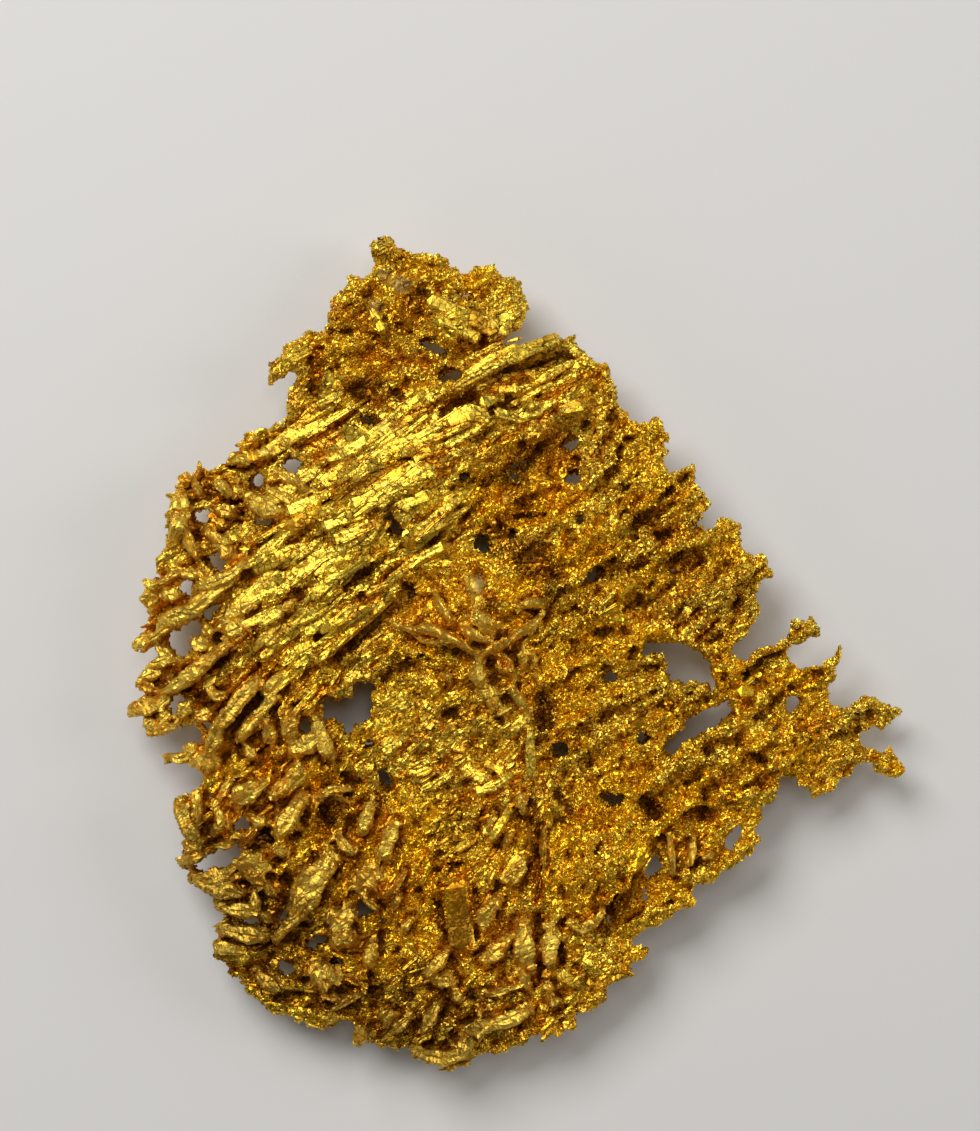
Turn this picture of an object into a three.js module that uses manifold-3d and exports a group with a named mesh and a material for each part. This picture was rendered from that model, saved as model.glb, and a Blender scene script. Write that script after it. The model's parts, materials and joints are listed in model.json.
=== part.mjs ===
// A herringbone gold crystal: a crumpled sheet of native gold, ribbed with long parallel crystals,
// lying on its back.
// Millimetres, +Z up. The origin is on the resting plane, under the middle of the specimen.
import * as THREE from "three";
import { mergeVertices } from "three/addons/utils/BufferGeometryUtils.js";
import Module from "manifold-3d";

const wasm = await Module();
wasm.setup();

// ---------- driving dimensions ----------

const SPECIMEN_WIDTH = 39.2;
const SPECIMEN_HEIGHT = 42;
const CROWN_HEIGHT = 3.9; // the sheet's upper face over the resting plane, in the middle
const CROWN_DROP = 1.1; // how much lower it lies at the rim
const SHEET_THICKNESS = 1.8;
const RIM_THICKNESS = 0.85;
const THINNING_REACH = 2.4; // how far in from the rim the sheet reaches its full thickness
const SHEET_PITCH = 2.5; // size of one cell of the sheet's faceted faces
const FACET_SCATTER = 0.3; // how far, in cells, a facet's corners stray from an even grid
const RIB_ROOT = 0.45; // how deep a rib is rooted in the sheet
const THROUGH_WIDTH = 1.1; // a rib this wide runs through the sheet and shows on its back
const RIB_STEP = 4.5; // longest facet along a rib
const FOOT_RADIUS = 1.9;
const FOOT_ROOT = 0.6; // how far a foot reaches up into the sheet
const FOOT_EXTRA = 0.5; // how far its crystal would go on under the resting plane
const MERGE_DISTANCE = 1e-3; // vertices nearer than this are one
const CLEANING_PASSES = 4; // merging them can pinch off a speck, which the next pass drops
const GOLD = { color: 0xd9a326, roughness: 0.34, metalness: 1 };

// ---------- the sheet's outline and openings ----------

// The rim, clockwise from the inlet under the top lobe: x, y.
const RIM = [
  // right side of the top lobe, its head and its left wing
  [-0.9, 15.2], [-0.1, 15.9], [0.4, 16.2], [0.7, 16.7], [0.6, 17.6], [0.0, 18.5], [-0.6, 18.6],
  [-1.0, 19.1],
  [-1.8, 19.1], [-2.3, 18.9], [-3.2, 19.2], [-3.5, 19.8], [-3.9, 20.0], [-4.5, 19.7], [-5.2, 19.8],
  [-5.3, 20.3],
  [-5.9, 20.3], [-6.4, 21.0], [-7.0, 20.8], [-7.3, 20.2], [-7.1, 19.4], [-6.8, 18.9], [-7.7, 18.8],
  [-8.3, 18.6],
  [-8.7, 17.9], [-9.5, 17.3], [-9.3, 16.5], [-10.4, 16.1], [-10.8, 15.5], [-11.8, 15.4], [-11.9, 14.5],
  [-12.5, 13.5], [-12.3, 13.2], [-11.2, 13.9], [-10.4, 13.6], [-11.1, 13.2], [-11.4, 12.0], [-11.6, 11.4],
  // left shoulder
  [-12.4, 11.2], [-13.0, 10.9], [-13.8, 10.5], [-14.2, 9.7], [-15.0, 9.2], [-15.2, 8.7], [-15.6, 9.3],
  [-16.0, 8.6], [-16.9, 8.8], [-17.1, 7.8], [-17.2, 7.0], [-17.6, 6.2], [-17.5, 5.2], [-17.8, 4.7],
  [-17.8, 3.5],
  // left fringe of fingers
  [-18.4, 3.3], [-18.5, 2.4], [-18.3, 1.9], [-18.7, 1.3], [-19.1, 0.7], [-19.1, 0.1], [-18.6, -0.2],
  [-18.1, 0.1], [-17.9, -0.2], [-17.5, -0.5], [-18.2, -0.9], [-18.8, -1.4], [-18.0, -1.5], [-17.5, -1.4],
  [-17.3, -1.75], [-18.2, -1.7], [-19.1, -1.75], [-18.7, -2.1], [-18.0, -2.2], [-18.9, -2.5], [-19.5, -2.8],
  [-19.6, -3.2], [-18.8, -3.5], [-18.5, -3.8], [-18.4, -4.4], [-17.9, -4.0], [-17.2, -3.75], [-16.0, -3.85],
  [-15.6, -4.1], [-16.0, -4.6], [-16.5, -4.7], [-16.5, -5.05], [-17.7, -5.1], [-17.7, -5.5], [-16.8, -5.55],
  [-16.2, -5.4], [-16.1, -5.9], [-15.6, -6.2],
  // left edge of the blades, down to the foot
  [-15.9, -6.7], [-16.4, -7.1], [-16.8, -7.5], [-16.5, -8.2], [-15.9, -9.1], [-16.2, -9.4], [-16.7, -9.6],
  [-16.3, -10.0], [-17.1, -10.4], [-16.6, -11.0], [-16.0, -11.6], [-15.2, -12.4], [-14.9, -13.0],
  [-14.9, -13.8],
  [-15.2, -14.6], [-15.2, -15.2], [-14.7, -15.7], [-14.7, -16.1], [-13.9, -16.5], [-13.2, -17.2],
  [-12.7, -17.8],
  [-11.6, -18.4], [-10.6, -18.7], [-9.3, -19.0], [-8.8, -18.7], [-8.5, -18.1], [-8.2, -18.9], [-7.8, -19.6],
  [-7.0, -19.8], [-6.6, -20.0], [-5.8, -19.9], [-5.0, -20.2], [-4.6, -20.7], [-3.4, -21.0], [-2.2, -20.8],
  [-1.8, -20.3], [-0.5, -20.1], [0.2, -19.8], [1.2, -19.4], [1.6, -19.0], [2.1, -19.3], [3.0, -18.9],
  // right edge of the foot
  [3.2, -18.3], [4.2, -17.7], [4.6, -17.0], [5.2, -16.6], [6.2, -16.3], [6.0, -16.0], [5.6, -15.8],
  [6.2, -15.4],
  [7.0, -15.3], [6.8, -14.9], [6.2, -14.8], [5.8, -14.4], [6.2, -14.1], [7.4, -13.7], [8.2, -13.1],
  [9.1, -12.6],
  [9.1, -12.0], [10.3, -11.4], [10.5, -10.9], [11.6, -10.3], [12.1, -9.8], [12.1, -9.0], [12.3, -8.2],
  [12.5, -7.6], [13.2, -7.4], [13.4, -7.0], [13.1, -6.6], [13.3, -6.3],
  // right fan and its fingers
  [14.0, -6.2], [14.0, -6.7], [14.6, -7.1], [15.6, -7.4], [16.0, -7.0], [16.1, -6.6], [16.9, -6.4],
  [17.1, -5.8],
  [17.5, -5.6], [17.9, -6.0], [18.6, -6.5], [19.3, -6.3], [19.6, -5.8], [19.2, -5.3], [18.8, -5.0],
  [17.5, -4.95], [17.2, -4.4], [17.9, -4.2], [18.5, -4.0], [19.4, -3.4], [19.2, -2.9], [18.4, -2.6],
  [18.0, -2.2], [17.4, -2.3], [17.0, -2.7], [16.0, -2.9], [15.75, -2.5], [15.7, -1.9], [16.0, -1.7],
  [16.3, -1.0], [16.45, -0.5], [16.2, 0.2], [15.9, -0.1], [15.6, -0.6], [14.8, -0.85], [13.9, -0.9],
  [13.7, -0.5], [14.0, 0.1], [14.8, 0.5], [15.3, 0.8], [14.9, 1.4], [14.0, 1.7], [13.6, 1.4], [13.3, 0.8],
  [12.7, 0.3], [12.0, -0.3], [11.3, -0.65],
  // right edge, up the stepped shoulder to the top rib
  [10.95, -0.3], [10.95, 0.6], [11.5, 0.9], [12.0, 1.2], [12.1, 2.3], [12.2, 3.3], [12.9, 3.8], [12.9, 4.5],
  [12.4, 4.9], [11.4, 5.0], [11.5, 5.6], [11.2, 6.4], [10.6, 6.75], [10.05, 6.6], [9.95, 6.0], [9.1, 5.6],
  [9.3, 6.2], [9.8, 6.9], [10.0, 7.6], [9.4, 7.9], [9.1, 8.8], [8.7, 9.2], [8.1, 9.0], [7.7, 8.5],
  [7.3, 8.3],
  [7.6, 9.0], [7.2, 9.6], [7.8, 9.95], [7.2, 10.3], [7.7, 10.8], [7.2, 11.4], [7.0, 11.8], [6.4, 11.5],
  [5.8, 11.8], [5.1, 12.3], [5.2, 12.8], [4.9, 13.5], [4.5, 14.2], [3.9, 14.4], [3.5, 14.6], [3.1, 15.3],
  [3.0, 15.7], [1.8, 15.8], [0.8, 15.5], [0.2, 15.1],
];

// The five larger openings through the sheet: x, y.
const WINDOWS = [
  [[-9.7, -2.3], [-9.6, -3.2], [-9.0, -3.4], [-8.6, -4.1], [-8.3, -4.3], [-7.9, -3.8], [-7.2, -3.6],
    [-7.1, -3.0], [-7.1, -2.2], [-6.9, -1.9], [-7.6, -1.6], [-8.0, -1.7], [-8.2, -2.3], [-8.8, -2.5]],
  [[6.2, -0.35], [6.5, 0.3], [7.3, 0.3], [8.0, 0.3], [8.8, -0.1], [9.3, -0.1], [9.5, -0.7], [9.5, -1.3],
    [9.9, -1.5], [9.7, -1.75], [9.1, -1.7], [8.7, -1.5], [8.0, -1.6], [7.6, -1.3], [7.7, -0.6], [7.4, -0.2],
    [7.0, -0.15], [6.6, -0.4]],
  [[7.1, -5.3], [7.6, -4.6], [8.1, -4.3], [8.2, -3.5], [8.8, -3.1], [9.6, -3.0], [10.3, -2.6], [10.9, -2.6],
    [10.8, -3.2], [10.3, -3.6], [9.8, -3.7], [9.7, -4.0], [9.1, -4.2], [8.6, -4.7], [8.1, -5.1]],
  [[-17.3, 0.5], [-17.1, 0.85], [-16.5, 1.0], [-15.9, 1.35], [-15.6, 0.85], [-16.1, 0.7], [-16.25, 0.2],
    [-16.1, -0.2], [-16.6, -0.3], [-17.1, -0.1]],
  [[-16.3, -10.95], [-15.7, -10.45], [-14.7, -10.1], [-13.9, -9.9], [-13.6, -10.1], [-13.6, -10.5],
    [-14.4, -10.8], [-15.3, -11.1], [-16.0, -11.2]],
];

// The smaller slits: centre x, centre y, length, width, degrees from +X.
const SLITS = [
  [-4.0, 15.1, 2.2, 0.45, -33], [-3.05, 13.6, 1.4, 0.55, 5], [-7.3, 11.45, 1.3, 0.55, -38],
  [-11.1, 9.25, 1.5, 0.75, 15], [-12.8, 8.45, 1.0, 0.5, -20], [-15.7, 6.65, 0.9, 0.65, -25],
  [-12.5, 6.3, 1.4, 0.35, -18], [-6.1, 6.3, 1.9, 0.6, -72], [-3.5, 9.25, 1.0, 0.45, 65],
  [-2.65, 8.6, 0.75, 0.5, 0], [0.3, 13.5, 0.6, 0.5, 0], [2.75, 10.3, 1.1, 0.4, 62],
  [2.85, 8.55, 0.85, 0.55, 30], [3.25, 6.4, 0.85, 0.45, 100], [4.75, 6.25, 1.2, 0.35, 38],
  [3.9, 5.3, 0.8, 0.45, 30], [-0.2, 5.9, 1.0, 0.3, -75], [3.6, 3.55, 1.6, 0.5, 40],
  [-1.6, 5.3, 0.9, 0.55, 40],
  [-15.0, 4.45, 1.5, 0.8, -15], [-16.3, 3.1, 1.5, 0.5, -30], [-15.15, 1.95, 1.0, 0.7, 35],
  [-17.0, -2.8, 1.1, 0.5, 75], [-13.25, -2.8, 1.3, 0.32, 48], [-11.6, -2.25, 0.9, 0.4, 60],
  [-10.35, -3.95, 1.5, 0.6, 75], [-7.3, -4.65, 1.0, 0.5, 15], [-6.5, -6.4, 1.7, 0.45, -80],
  [-13.7, -8.8, 0.7, 0.55, 0], [-12.4, -9.2, 1.2, 0.5, -20], [-15.3, -7.8, 1.0, 0.3, 60],
  [-13.5, -13.35, 2.0, 0.45, 3], [-7.7, -12.9, 1.5, 0.5, -12], [-10.0, -14.7, 1.7, 0.6, 45],
  [-11.4, -16.0, 1.6, 0.65, -5], [-8.9, -15.7, 0.8, 0.4, -30], [6.2, -4.1, 1.0, 0.6, 65],
  [13.8, -2.8, 1.2, 0.65, 70], [12.8, -3.8, 1.1, 0.42, 25], [4.7, -7.2, 0.85, 0.6, 5],
  [6.9, -10.7, 2.0, 0.55, 62], [10.9, -9.4, 2.0, 0.5, 52], [2.1, -4.75, 1.5, 0.5, -35],
  [1.0, -9.3, 1.0, 0.28, 90], [3.5, -0.55, 1.5, 0.5, 38],
];

// ---------- the sheet's relief ----------

// Swells (+) and hollows (-) of the whole sheet: x, y, half-length, half-width, degrees from +X, height.
const SWELLS = [
  [-6.5, 7.6, 9.0, 2.6, 35, 1.0], [0.9, 8.5, 5.5, 0.9, 38, -1.1], [-6.0, 2.0, 3.8, 0.6, 38, -0.8],
  [-1.8, 1.6, 3.0, 1.9, 0, 1.1], [5.8, 6.6, 5.0, 2.2, 38, 0.5], [5.2, 1.2, 1.5, 0.9, 15, -0.8],
  [9.6, 2.8, 3.0, 1.8, 25, 0.6], [1.7, -2.8, 0.9, 1.2, 0, -0.9], [-3.6, -6.8, 3.3, 3.4, 0, -0.7],
  [4.2, -9.8, 2.4, 3.2, 0, 1.3], [5.6, -12.7, 2.5, 0.7, 40, -1.0], [1.0, -9.8, 4.5, 0.45, 90, -0.8],
  [-3.0, -13.1, 1.4, 0.8, 90, -0.9], [-13.2, -11.0, 4.0, 2.6, 90, 0.6], [-11.2, -12.0, 2.2, 0.4, 90, -0.9],
  [-3.0, 16.8, 2.2, 1.5, 20, 0.9], [-7.4, 12.9, 2.8, 1.1, 25, -0.8], [-6.6, 20.0, 1.0, 0.9, 0, 0.5],
  [17.2, -4.2, 3.0, 2.6, 0, -0.9], [-2.0, -18.2, 4.2, 1.4, 15, 0.6], [-16.8, 6.4, 2.4, 0.9, 80, 0.6],
  [-0.6, 5.2, 1.6, 0.9, 35, -0.7], [8.8, 4.3, 1.6, 0.5, 30, -0.7], [-9.3, -7.9, 1.2, 1.0, 0, -0.6],
  [-18.0, -1.0, 1.6, 3.0, 0, -0.5], [14.5, 0.8, 1.5, 1.2, 30, 0.5], [-7.3, -0.2, 1.6, 0.9, 30, 0.8],
];

// ---------- the ribs ----------

// Long crystals grown along the sheet: their course as x, y points, then width and rise over the sheet.
const RIBS = [
  // the bright upper band
  [[[-3.2, 13.0], [-0.6, 14.3], [2.7, 15.5]], 1.25, 0.8],
  [[[-6.0, 11.7], [-3.4, 12.9], [-1.6, 13.7]], 0.7, 0.6], [[[-3.8, 11.3], [-1.2, 12.4]], 1.3, 0.9],
  [[[-1.8, 12.3], [1.1, 13.1]], 0.95, 0.8], [[[-10.0, 9.2], [-7.6, 10.3], [-5.4, 11.4]], 0.85, 0.6],
  [[[-5.2, 10.6], [-3.0, 11.4]], 0.6, 0.6], [[[-10.0, 8.0], [-7.4, 9.0], [-4.8, 10.1]], 0.9, 0.8],
  [[[-5.0, 9.8], [-1.4, 11.5], [1.6, 12.5]], 0.75, 0.7], [[[-12.6, 8.3], [-10.6, 7.6]], 0.6, 0.5],
  [[[-13.9, 7.8], [-11.6, 6.8]], 1.1, 0.5], [[[-10.6, 6.8], [-8.0, 8.1], [-5.7, 9.3]], 1.05, 0.8],
  [[[-13.4, 5.2], [-9.6, 6.5], [-6.8, 7.6]], 1.1, 0.7], [[[-6.7, 7.4], [-3.9, 8.7]], 1.3, 0.8],
  [[[-13.9, 3.9], [-11.6, 5.0], [-8.8, 6.3]], 1.0, 0.6], [[[-9.0, 5.2], [-6.7, 6.3]], 0.95, 0.7],
  [[[-19.0, 0.4], [-17.2, 1.4], [-15.6, 2.6], [-13.6, 4.2]], 0.75, 0.5],
  [[[-13.2, 2.0], [-10.0, 3.7], [-7.1, 5.3]], 1.15, 0.6],
  [[[-16.1, 0.2], [-14.4, 1.2], [-12.3, 2.6]], 0.95, 0.6],
  [[[-17.9, -2.4], [-15.9, -1.0], [-13.6, 0.4]], 0.85, 0.7],
  [[[-13.8, 0.2], [-11.6, 1.8], [-9.2, 3.4]], 1.0, 0.6],
  [[[-10.0, 2.3], [-7.6, 4.0], [-5.0, 5.7], [-3.0, 7.2]], 0.7, 0.7], [[[-8.6, 2.5], [-4.5, 4.7]], 0.8, 0.8],
  [[[-10.3, -0.5], [-8.6, 0.6], [-6.8, 2.0]], 0.65, 0.8],
  [[[-9.3, 1.0], [-6.2, 3.0], [-3.4, 5.2]], 0.6, 0.7],
  [[[-12.6, -0.4], [-10.3, 1.2]], 0.9, 0.5], [[[-8.8, -0.9], [-5.6, 0.7]], 1.3, 0.4],
  // the crystals under the left fringe
  [[[-16.1, -5.8], [-14.9, -3.9], [-12.6, -1.3]], 1.0, 0.8], [[[-13.9, -4.5], [-11.8, -2.3]], 0.75, 0.6],
  [[[-12.8, -2.5], [-10.9, -0.8]], 0.7, 0.6], [[[-16.9, -3.5], [-14.3, -0.9]], 0.7, 0.5],
  [[[-15.8, -3.4], [-13.3, -1.1]], 0.65, 0.5], [[[-11.3, -1.0], [-9.9, -3.6]], 0.7, 0.6],
  // the leaning blades of the lower left
  [[[-16.8, -7.8], [-14.8, -6.0]], 1.0, 0.7], [[[-15.6, -8.6], [-12.9, -6.2]], 0.8, 0.7],
  [[[-13.9, -8.1], [-12.2, -6.3]], 0.95, 1.0], [[[-14.8, -9.4], [-13.3, -7.6]], 0.75, 0.7],
  [[[-16.6, -9.8], [-13.8, -9.2]], 0.65, 0.6], [[[-16.5, -11.3], [-12.6, -10.3]], 0.85, 0.7],
  [[[-15.7, -12.1], [-11.8, -11.0]], 1.0, 0.9], [[[-15.0, -12.8], [-11.5, -12.0]], 0.8, 0.7],
  [[[-15.0, -14.3], [-12.0, -14.0]], 0.85, 0.6], [[[-15.1, -15.3], [-12.1, -15.0]], 0.95, 0.7],
  [[[-14.4, -16.1], [-12.0, -16.9]], 0.85, 0.7], [[[-12.8, -17.6], [-9.0, -18.4]], 0.95, 0.6],
  [[[-11.0, -16.2], [-8.8, -16.6]], 1.5, 0.7], [[[-11.2, -13.5], [-8.9, -11.3]], 0.75, 0.8],
  [[[-11.8, -14.6], [-9.9, -12.8]], 0.6, 0.5], [[[-9.0, -11.4], [-7.2, -12.5]], 0.6, 0.6],
  [[[-6.2, -19.4], [-4.5, -17.9]], 0.9, 0.6], [[[-10.9, -6.3], [-8.2, -5.6]], 0.8, 0.6],
  [[[-9.6, -9.9], [-8.2, -7.6]], 0.7, 0.6],
  // the ribs right of the band, up to the stepped shoulder
  [[[-2.9, 8.9], [0.4, 10.8], [4.1, 12.7]], 0.95, 0.7], [[[-3.0, 7.4], [0.9, 8.2]], 1.2, 0.6],
  [[[-3.6, 5.7], [-0.8, 7.2], [2.0, 8.4]], 0.9, 0.7], [[[-0.9, 4.4], [1.2, 5.8], [3.0, 7.0]], 0.95, 0.7],
  [[[1.6, 4.2], [4.4, 5.8], [6.8, 7.5], [8.8, 9.0]], 0.8, 0.6],
  [[[2.2, 3.0], [5.2, 5.1], [8.6, 7.7]], 0.8, 0.6],
  [[[4.0, 2.2], [7.1, 4.8], [9.1, 5.5], [10.9, 6.4]], 0.9, 0.8],
  [[[3.5, 6.7], [6.1, 8.3], [7.4, 9.4]], 0.7, 0.5], [[[3.2, 8.9], [5.4, 10.6], [7.3, 11.5]], 0.85, 0.5],
  [[[2.5, 9.3], [4.1, 11.2], [5.0, 12.6]], 0.8, 0.6], [[[6.0, 1.9], [9.3, 2.7], [12.4, 4.5]], 1.05, 0.7],
  [[[6.3, 0.8], [10.4, 1.9]], 0.9, 0.5], [[[10.2, -1.0], [10.3, 1.7]], 1.0, 0.4],
  [[[-4.2, 3.3], [-2.6, 4.6], [-0.9, 4.3]], 0.7, 0.6],
  // the right fan
  [[[1.5, -1.1], [4.5, -0.5], [7.5, -0.5]], 1.0, 0.6], [[[1.9, -2.7], [6.2, -1.9], [9.9, -2.2]], 1.1, 0.6],
  [[[2.0, -5.9], [4.2, -4.6], [6.6, -3.1]], 0.85, 0.8], [[[3.0, -6.1], [6.8, -4.9]], 0.7, 0.6],
  [[[6.0, -6.3], [8.6, -4.9], [11.6, -3.1], [13.4, -1.7], [16.2, -0.3]], 0.85, 0.6],
  [[[10.9, -1.0], [12.9, 0.1], [15.0, 1.2]], 0.85, 0.5],
  [[[5.8, -6.9], [9.5, -5.4], [13.8, -4.2], [17.5, -3.1], [19.4, -3.1]], 0.85, 0.7],
  [[[10.3, -7.1], [13.0, -5.5], [15.5, -4.5], [17.4, -4.6]], 0.95, 0.7],
  [[[12.8, -5.9], [16.5, -5.3], [19.5, -5.8]], 0.95, 0.6], [[[14.0, -6.6], [16.0, -7.0]], 0.85, 0.5],
  [[[6.6, -8.7], [8.4, -7.9], [11.8, -7.0], [13.2, -6.7]], 0.9, 0.6],
  [[[7.9, -9.3], [10.9, -8.8]], 1.1, 0.5],
  [[[10.2, -11.1], [12.1, -9.1]], 0.6, 0.4],
  // the foot
  [[[6.6, -9.6], [5.6, -11.6], [2.8, -14.1]], 0.7, 0.6],
  [[[4.0, -14.5], [6.5, -13.2], [9.1, -12.3]], 0.95, 0.5], [[[4.0, -15.7], [6.9, -15.1]], 0.65, 0.3],
  [[[1.9, -16.8], [4.4, -15.4]], 0.85, 0.6], [[[0.6, -19.1], [4.4, -17.0]], 0.95, 0.5],
  [[[-4.2, -20.5], [0.0, -19.2]], 1.1, 0.5], [[[-2.4, -17.8], [1.0, -15.8]], 0.8, 0.6],
  [[[-0.6, -12.1], [0.6, -10.1]], 0.75, 0.7], [[[-2.4, -13.0], [0.7, -11.7]], 0.6, 0.5],
  [[[1.7, -15.9], [1.7, -13.7]], 0.85, 0.7],
  [[[0.7, -3.9], [1.6, -6.4], [1.7, -9.2], [1.7, -12.6]], 0.7, 0.6],
  [[[-6.9, -11.3], [-5.2, -14.6]], 0.8, 0.5], [[[-6.6, -16.3], [-3.6, -15.2]], 0.7, 0.5],
  // the wiry crest in the middle and the cluster under it
  // the top lobe and the left shoulder
  [[[-7.0, 17.6], [-6.6, 15.6]], 0.6, 0.8], [[[-12.0, 14.5], [-9.9, 15.0]], 0.9, 0.6],
  [[[-4.2, 16.3], [-1.7, 17.1]], 1.8, 0.7], [[[-2.2, 15.4], [-0.2, 16.1]], 0.7, 0.7],
  [[[-10.0, 11.6], [-9.2, 14.0]], 1.1, 0.6], [[[-17.3, 7.9], [-16.9, 6.4], [-16.0, 4.9]], 0.95, 0.8],
  [[[-5.4, 19.6], [-3.2, 18.6]], 1.0, 0.4], [[[-0.8, 18.6], [0.3, 16.9]], 1.0, 0.3],
  [[[-17.9, 4.6], [-18.2, 2.2]], 0.7, 0.3],
];

// Crystals under the sheet that it lies on: x, y. Each ends in a small flat at the resting plane.
const FEET = [
  [-7.0, 14.6], [6.6, 6.2], [9.4, -6.9], [0.8, -16.2], [-10.9, -11.0], [-9.9, 4.2],
];

// ---------- helpers ----------

// A repeatable number from 0 to 1 for the n-th crystal.
const chance = (n) => {
  const x = Math.sin(n * 12.9898 + 4.1414) * 43758.5453;
  return x - Math.floor(x);
};

const rotated = (x, y, degrees) => {
  const a = THREE.MathUtils.degToRad(degrees);
  return [x * Math.cos(a) + y * Math.sin(a), y * Math.cos(a) - x * Math.sin(a)];
};

// The geometry with nothing but its positions, so that vertices in one place can merge.
function bare(geometry) {
  for (const name of ["normal", "uv"]) geometry.deleteAttribute(name);
  return geometry;
}

// A closed three.js geometry as a manifold-3d solid.
function solidOf(geometry) {
  const merged = mergeVertices(bare(geometry), MERGE_DISTANCE);
  return new wasm.Manifold(
    new wasm.Mesh({
      numProp: 3,
      vertProperties: new Float32Array(merged.attributes.position.array),
      triVerts: new Uint32Array(merged.index.array),
    }),
  );
}

// A manifold-3d solid as a three.js geometry.
function geometryOf(solid) {
  const { vertProperties, triVerts, numProp, numVert } = solid.getMesh();
  const positions = new Float32Array(numVert * 3);
  for (let i = 0; i < numVert; i++) positions.set(vertProperties.subarray(i * numProp, i * numProp + 3), i * 3);
  return new THREE.BufferGeometry()
    .setAttribute("position", new THREE.BufferAttribute(positions, 3))
    .setIndex(new THREE.BufferAttribute(new Uint32Array(triVerts), 1));
}

// ---------- the sheet's two faces ----------

function rimDistance(x, y) {
  let least = Infinity;
  RIM.forEach(([ax, ay], i) => {
    const [bx, by] = RIM[(i + 1) % RIM.length];
    const along = ((x - ax) * (bx - ax) + (y - ay) * (by - ay)) / ((bx - ax) ** 2 + (by - ay) ** 2);
    const t = THREE.MathUtils.clamp(along, 0, 1);
    least = Math.min(least, Math.hypot(x - ax - t * (bx - ax), y - ay - t * (by - ay)));
  });
  return least;
}

function upperFace(x, y) {
  const reach = (x / (SPECIMEN_WIDTH / 2)) ** 2 + (y / (SPECIMEN_HEIGHT / 2)) ** 2;
  let z = CROWN_HEIGHT - CROWN_DROP * Math.min(reach, 1);
  for (const [cx, cy, halfLength, halfWidth, degrees, height] of SWELLS) {
    const [u, v] = rotated(x - cx, y - cy, degrees);
    z += height * Math.exp(-((u / halfLength) ** 2) - (v / halfWidth) ** 2);
  }
  return z;
}

function thickness(x, y) {
  const share = THREE.MathUtils.smoothstep(rimDistance(x, y), 0, THINNING_REACH);
  return THREE.MathUtils.lerp(RIM_THICKNESS, SHEET_THICKNESS, share);
}

const lowerFace = (x, y) => upperFace(x, y) - thickness(x, y);

// A closed slab with the sheet's relief on both faces, a little larger than the specimen.
function reliefSlab() {
  const width = SPECIMEN_WIDTH + 2 * SHEET_PITCH;
  const height = SPECIMEN_HEIGHT + 2 * SHEET_PITCH;
  const across = Math.round(width / SHEET_PITCH);
  const up = Math.round(height / SHEET_PITCH);
  const slab = new THREE.BoxGeometry(width, height, 1, across, up, 1);
  const p = slab.attributes.position;
  for (let i = 0; i < p.count; i++) {
    const column = Math.round((p.getX(i) / width) * across);
    const row = Math.round((p.getY(i) / height) * up);
    const x = p.getX(i) + (chance(13 * column + 71 * row) - 0.5) * 2 * FACET_SCATTER * SHEET_PITCH;
    const y = p.getY(i) + (chance(29 * column + 37 * row) - 0.5) * 2 * FACET_SCATTER * SHEET_PITCH;
    p.setXYZ(i, x, y, p.getZ(i) > 0 ? upperFace(x, y) : lowerFace(x, y));
  }
  return slab;
}

// ---------- outline and openings ----------

const vectors = (points) => points.map(([x, y]) => new THREE.Vector2(x, y));

// A slit with pointed ends and slightly uneven sides.
function slitPath([x, y, length, width, degrees], index) {
  const stations = [[-0.5, 0], [-0.22, -0.46], [0.16, -0.5], [0.5, 0], [0.2, 0.48], [-0.26, 0.44]];
  const points = stations.map(([s, t], k) => {
    const uneven = 0.85 + 0.3 * chance(7 * index + k);
    const [u, v] = rotated(s * length, t * width * uneven, -degrees);
    return new THREE.Vector2(x + u, y + v);
  });
  return new THREE.Path(points);
}

function outlinePrism() {
  const depth = 2 * CROWN_HEIGHT + 4;
  const outline = new THREE.Shape(vectors(RIM));
  outline.holes = [...WINDOWS.map((w) => new THREE.Path(vectors(w))), ...SLITS.map(slitPath)];
  return new THREE.ExtrudeGeometry(outline, { depth, bevelEnabled: false }).translate(0, 0, -2);
}

// ---------- crystals ----------

// A rib's course as points no further apart than RIB_STEP.
function stationsAlong(course) {
  const stations = [course[0]];
  for (let i = 1; i < course.length; i++) {
    const [ax, ay] = course[i - 1];
    const [bx, by] = course[i];
    const steps = Math.ceil(Math.hypot(bx - ax, by - ay) / RIB_STEP);
    for (let k = 1; k <= steps; k++) {
      const share = k / steps;
      stations.push([THREE.MathUtils.lerp(ax, bx, share), THREE.MathUtils.lerp(ay, by, share)]);
    }
  }
  return stations;
}

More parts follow.
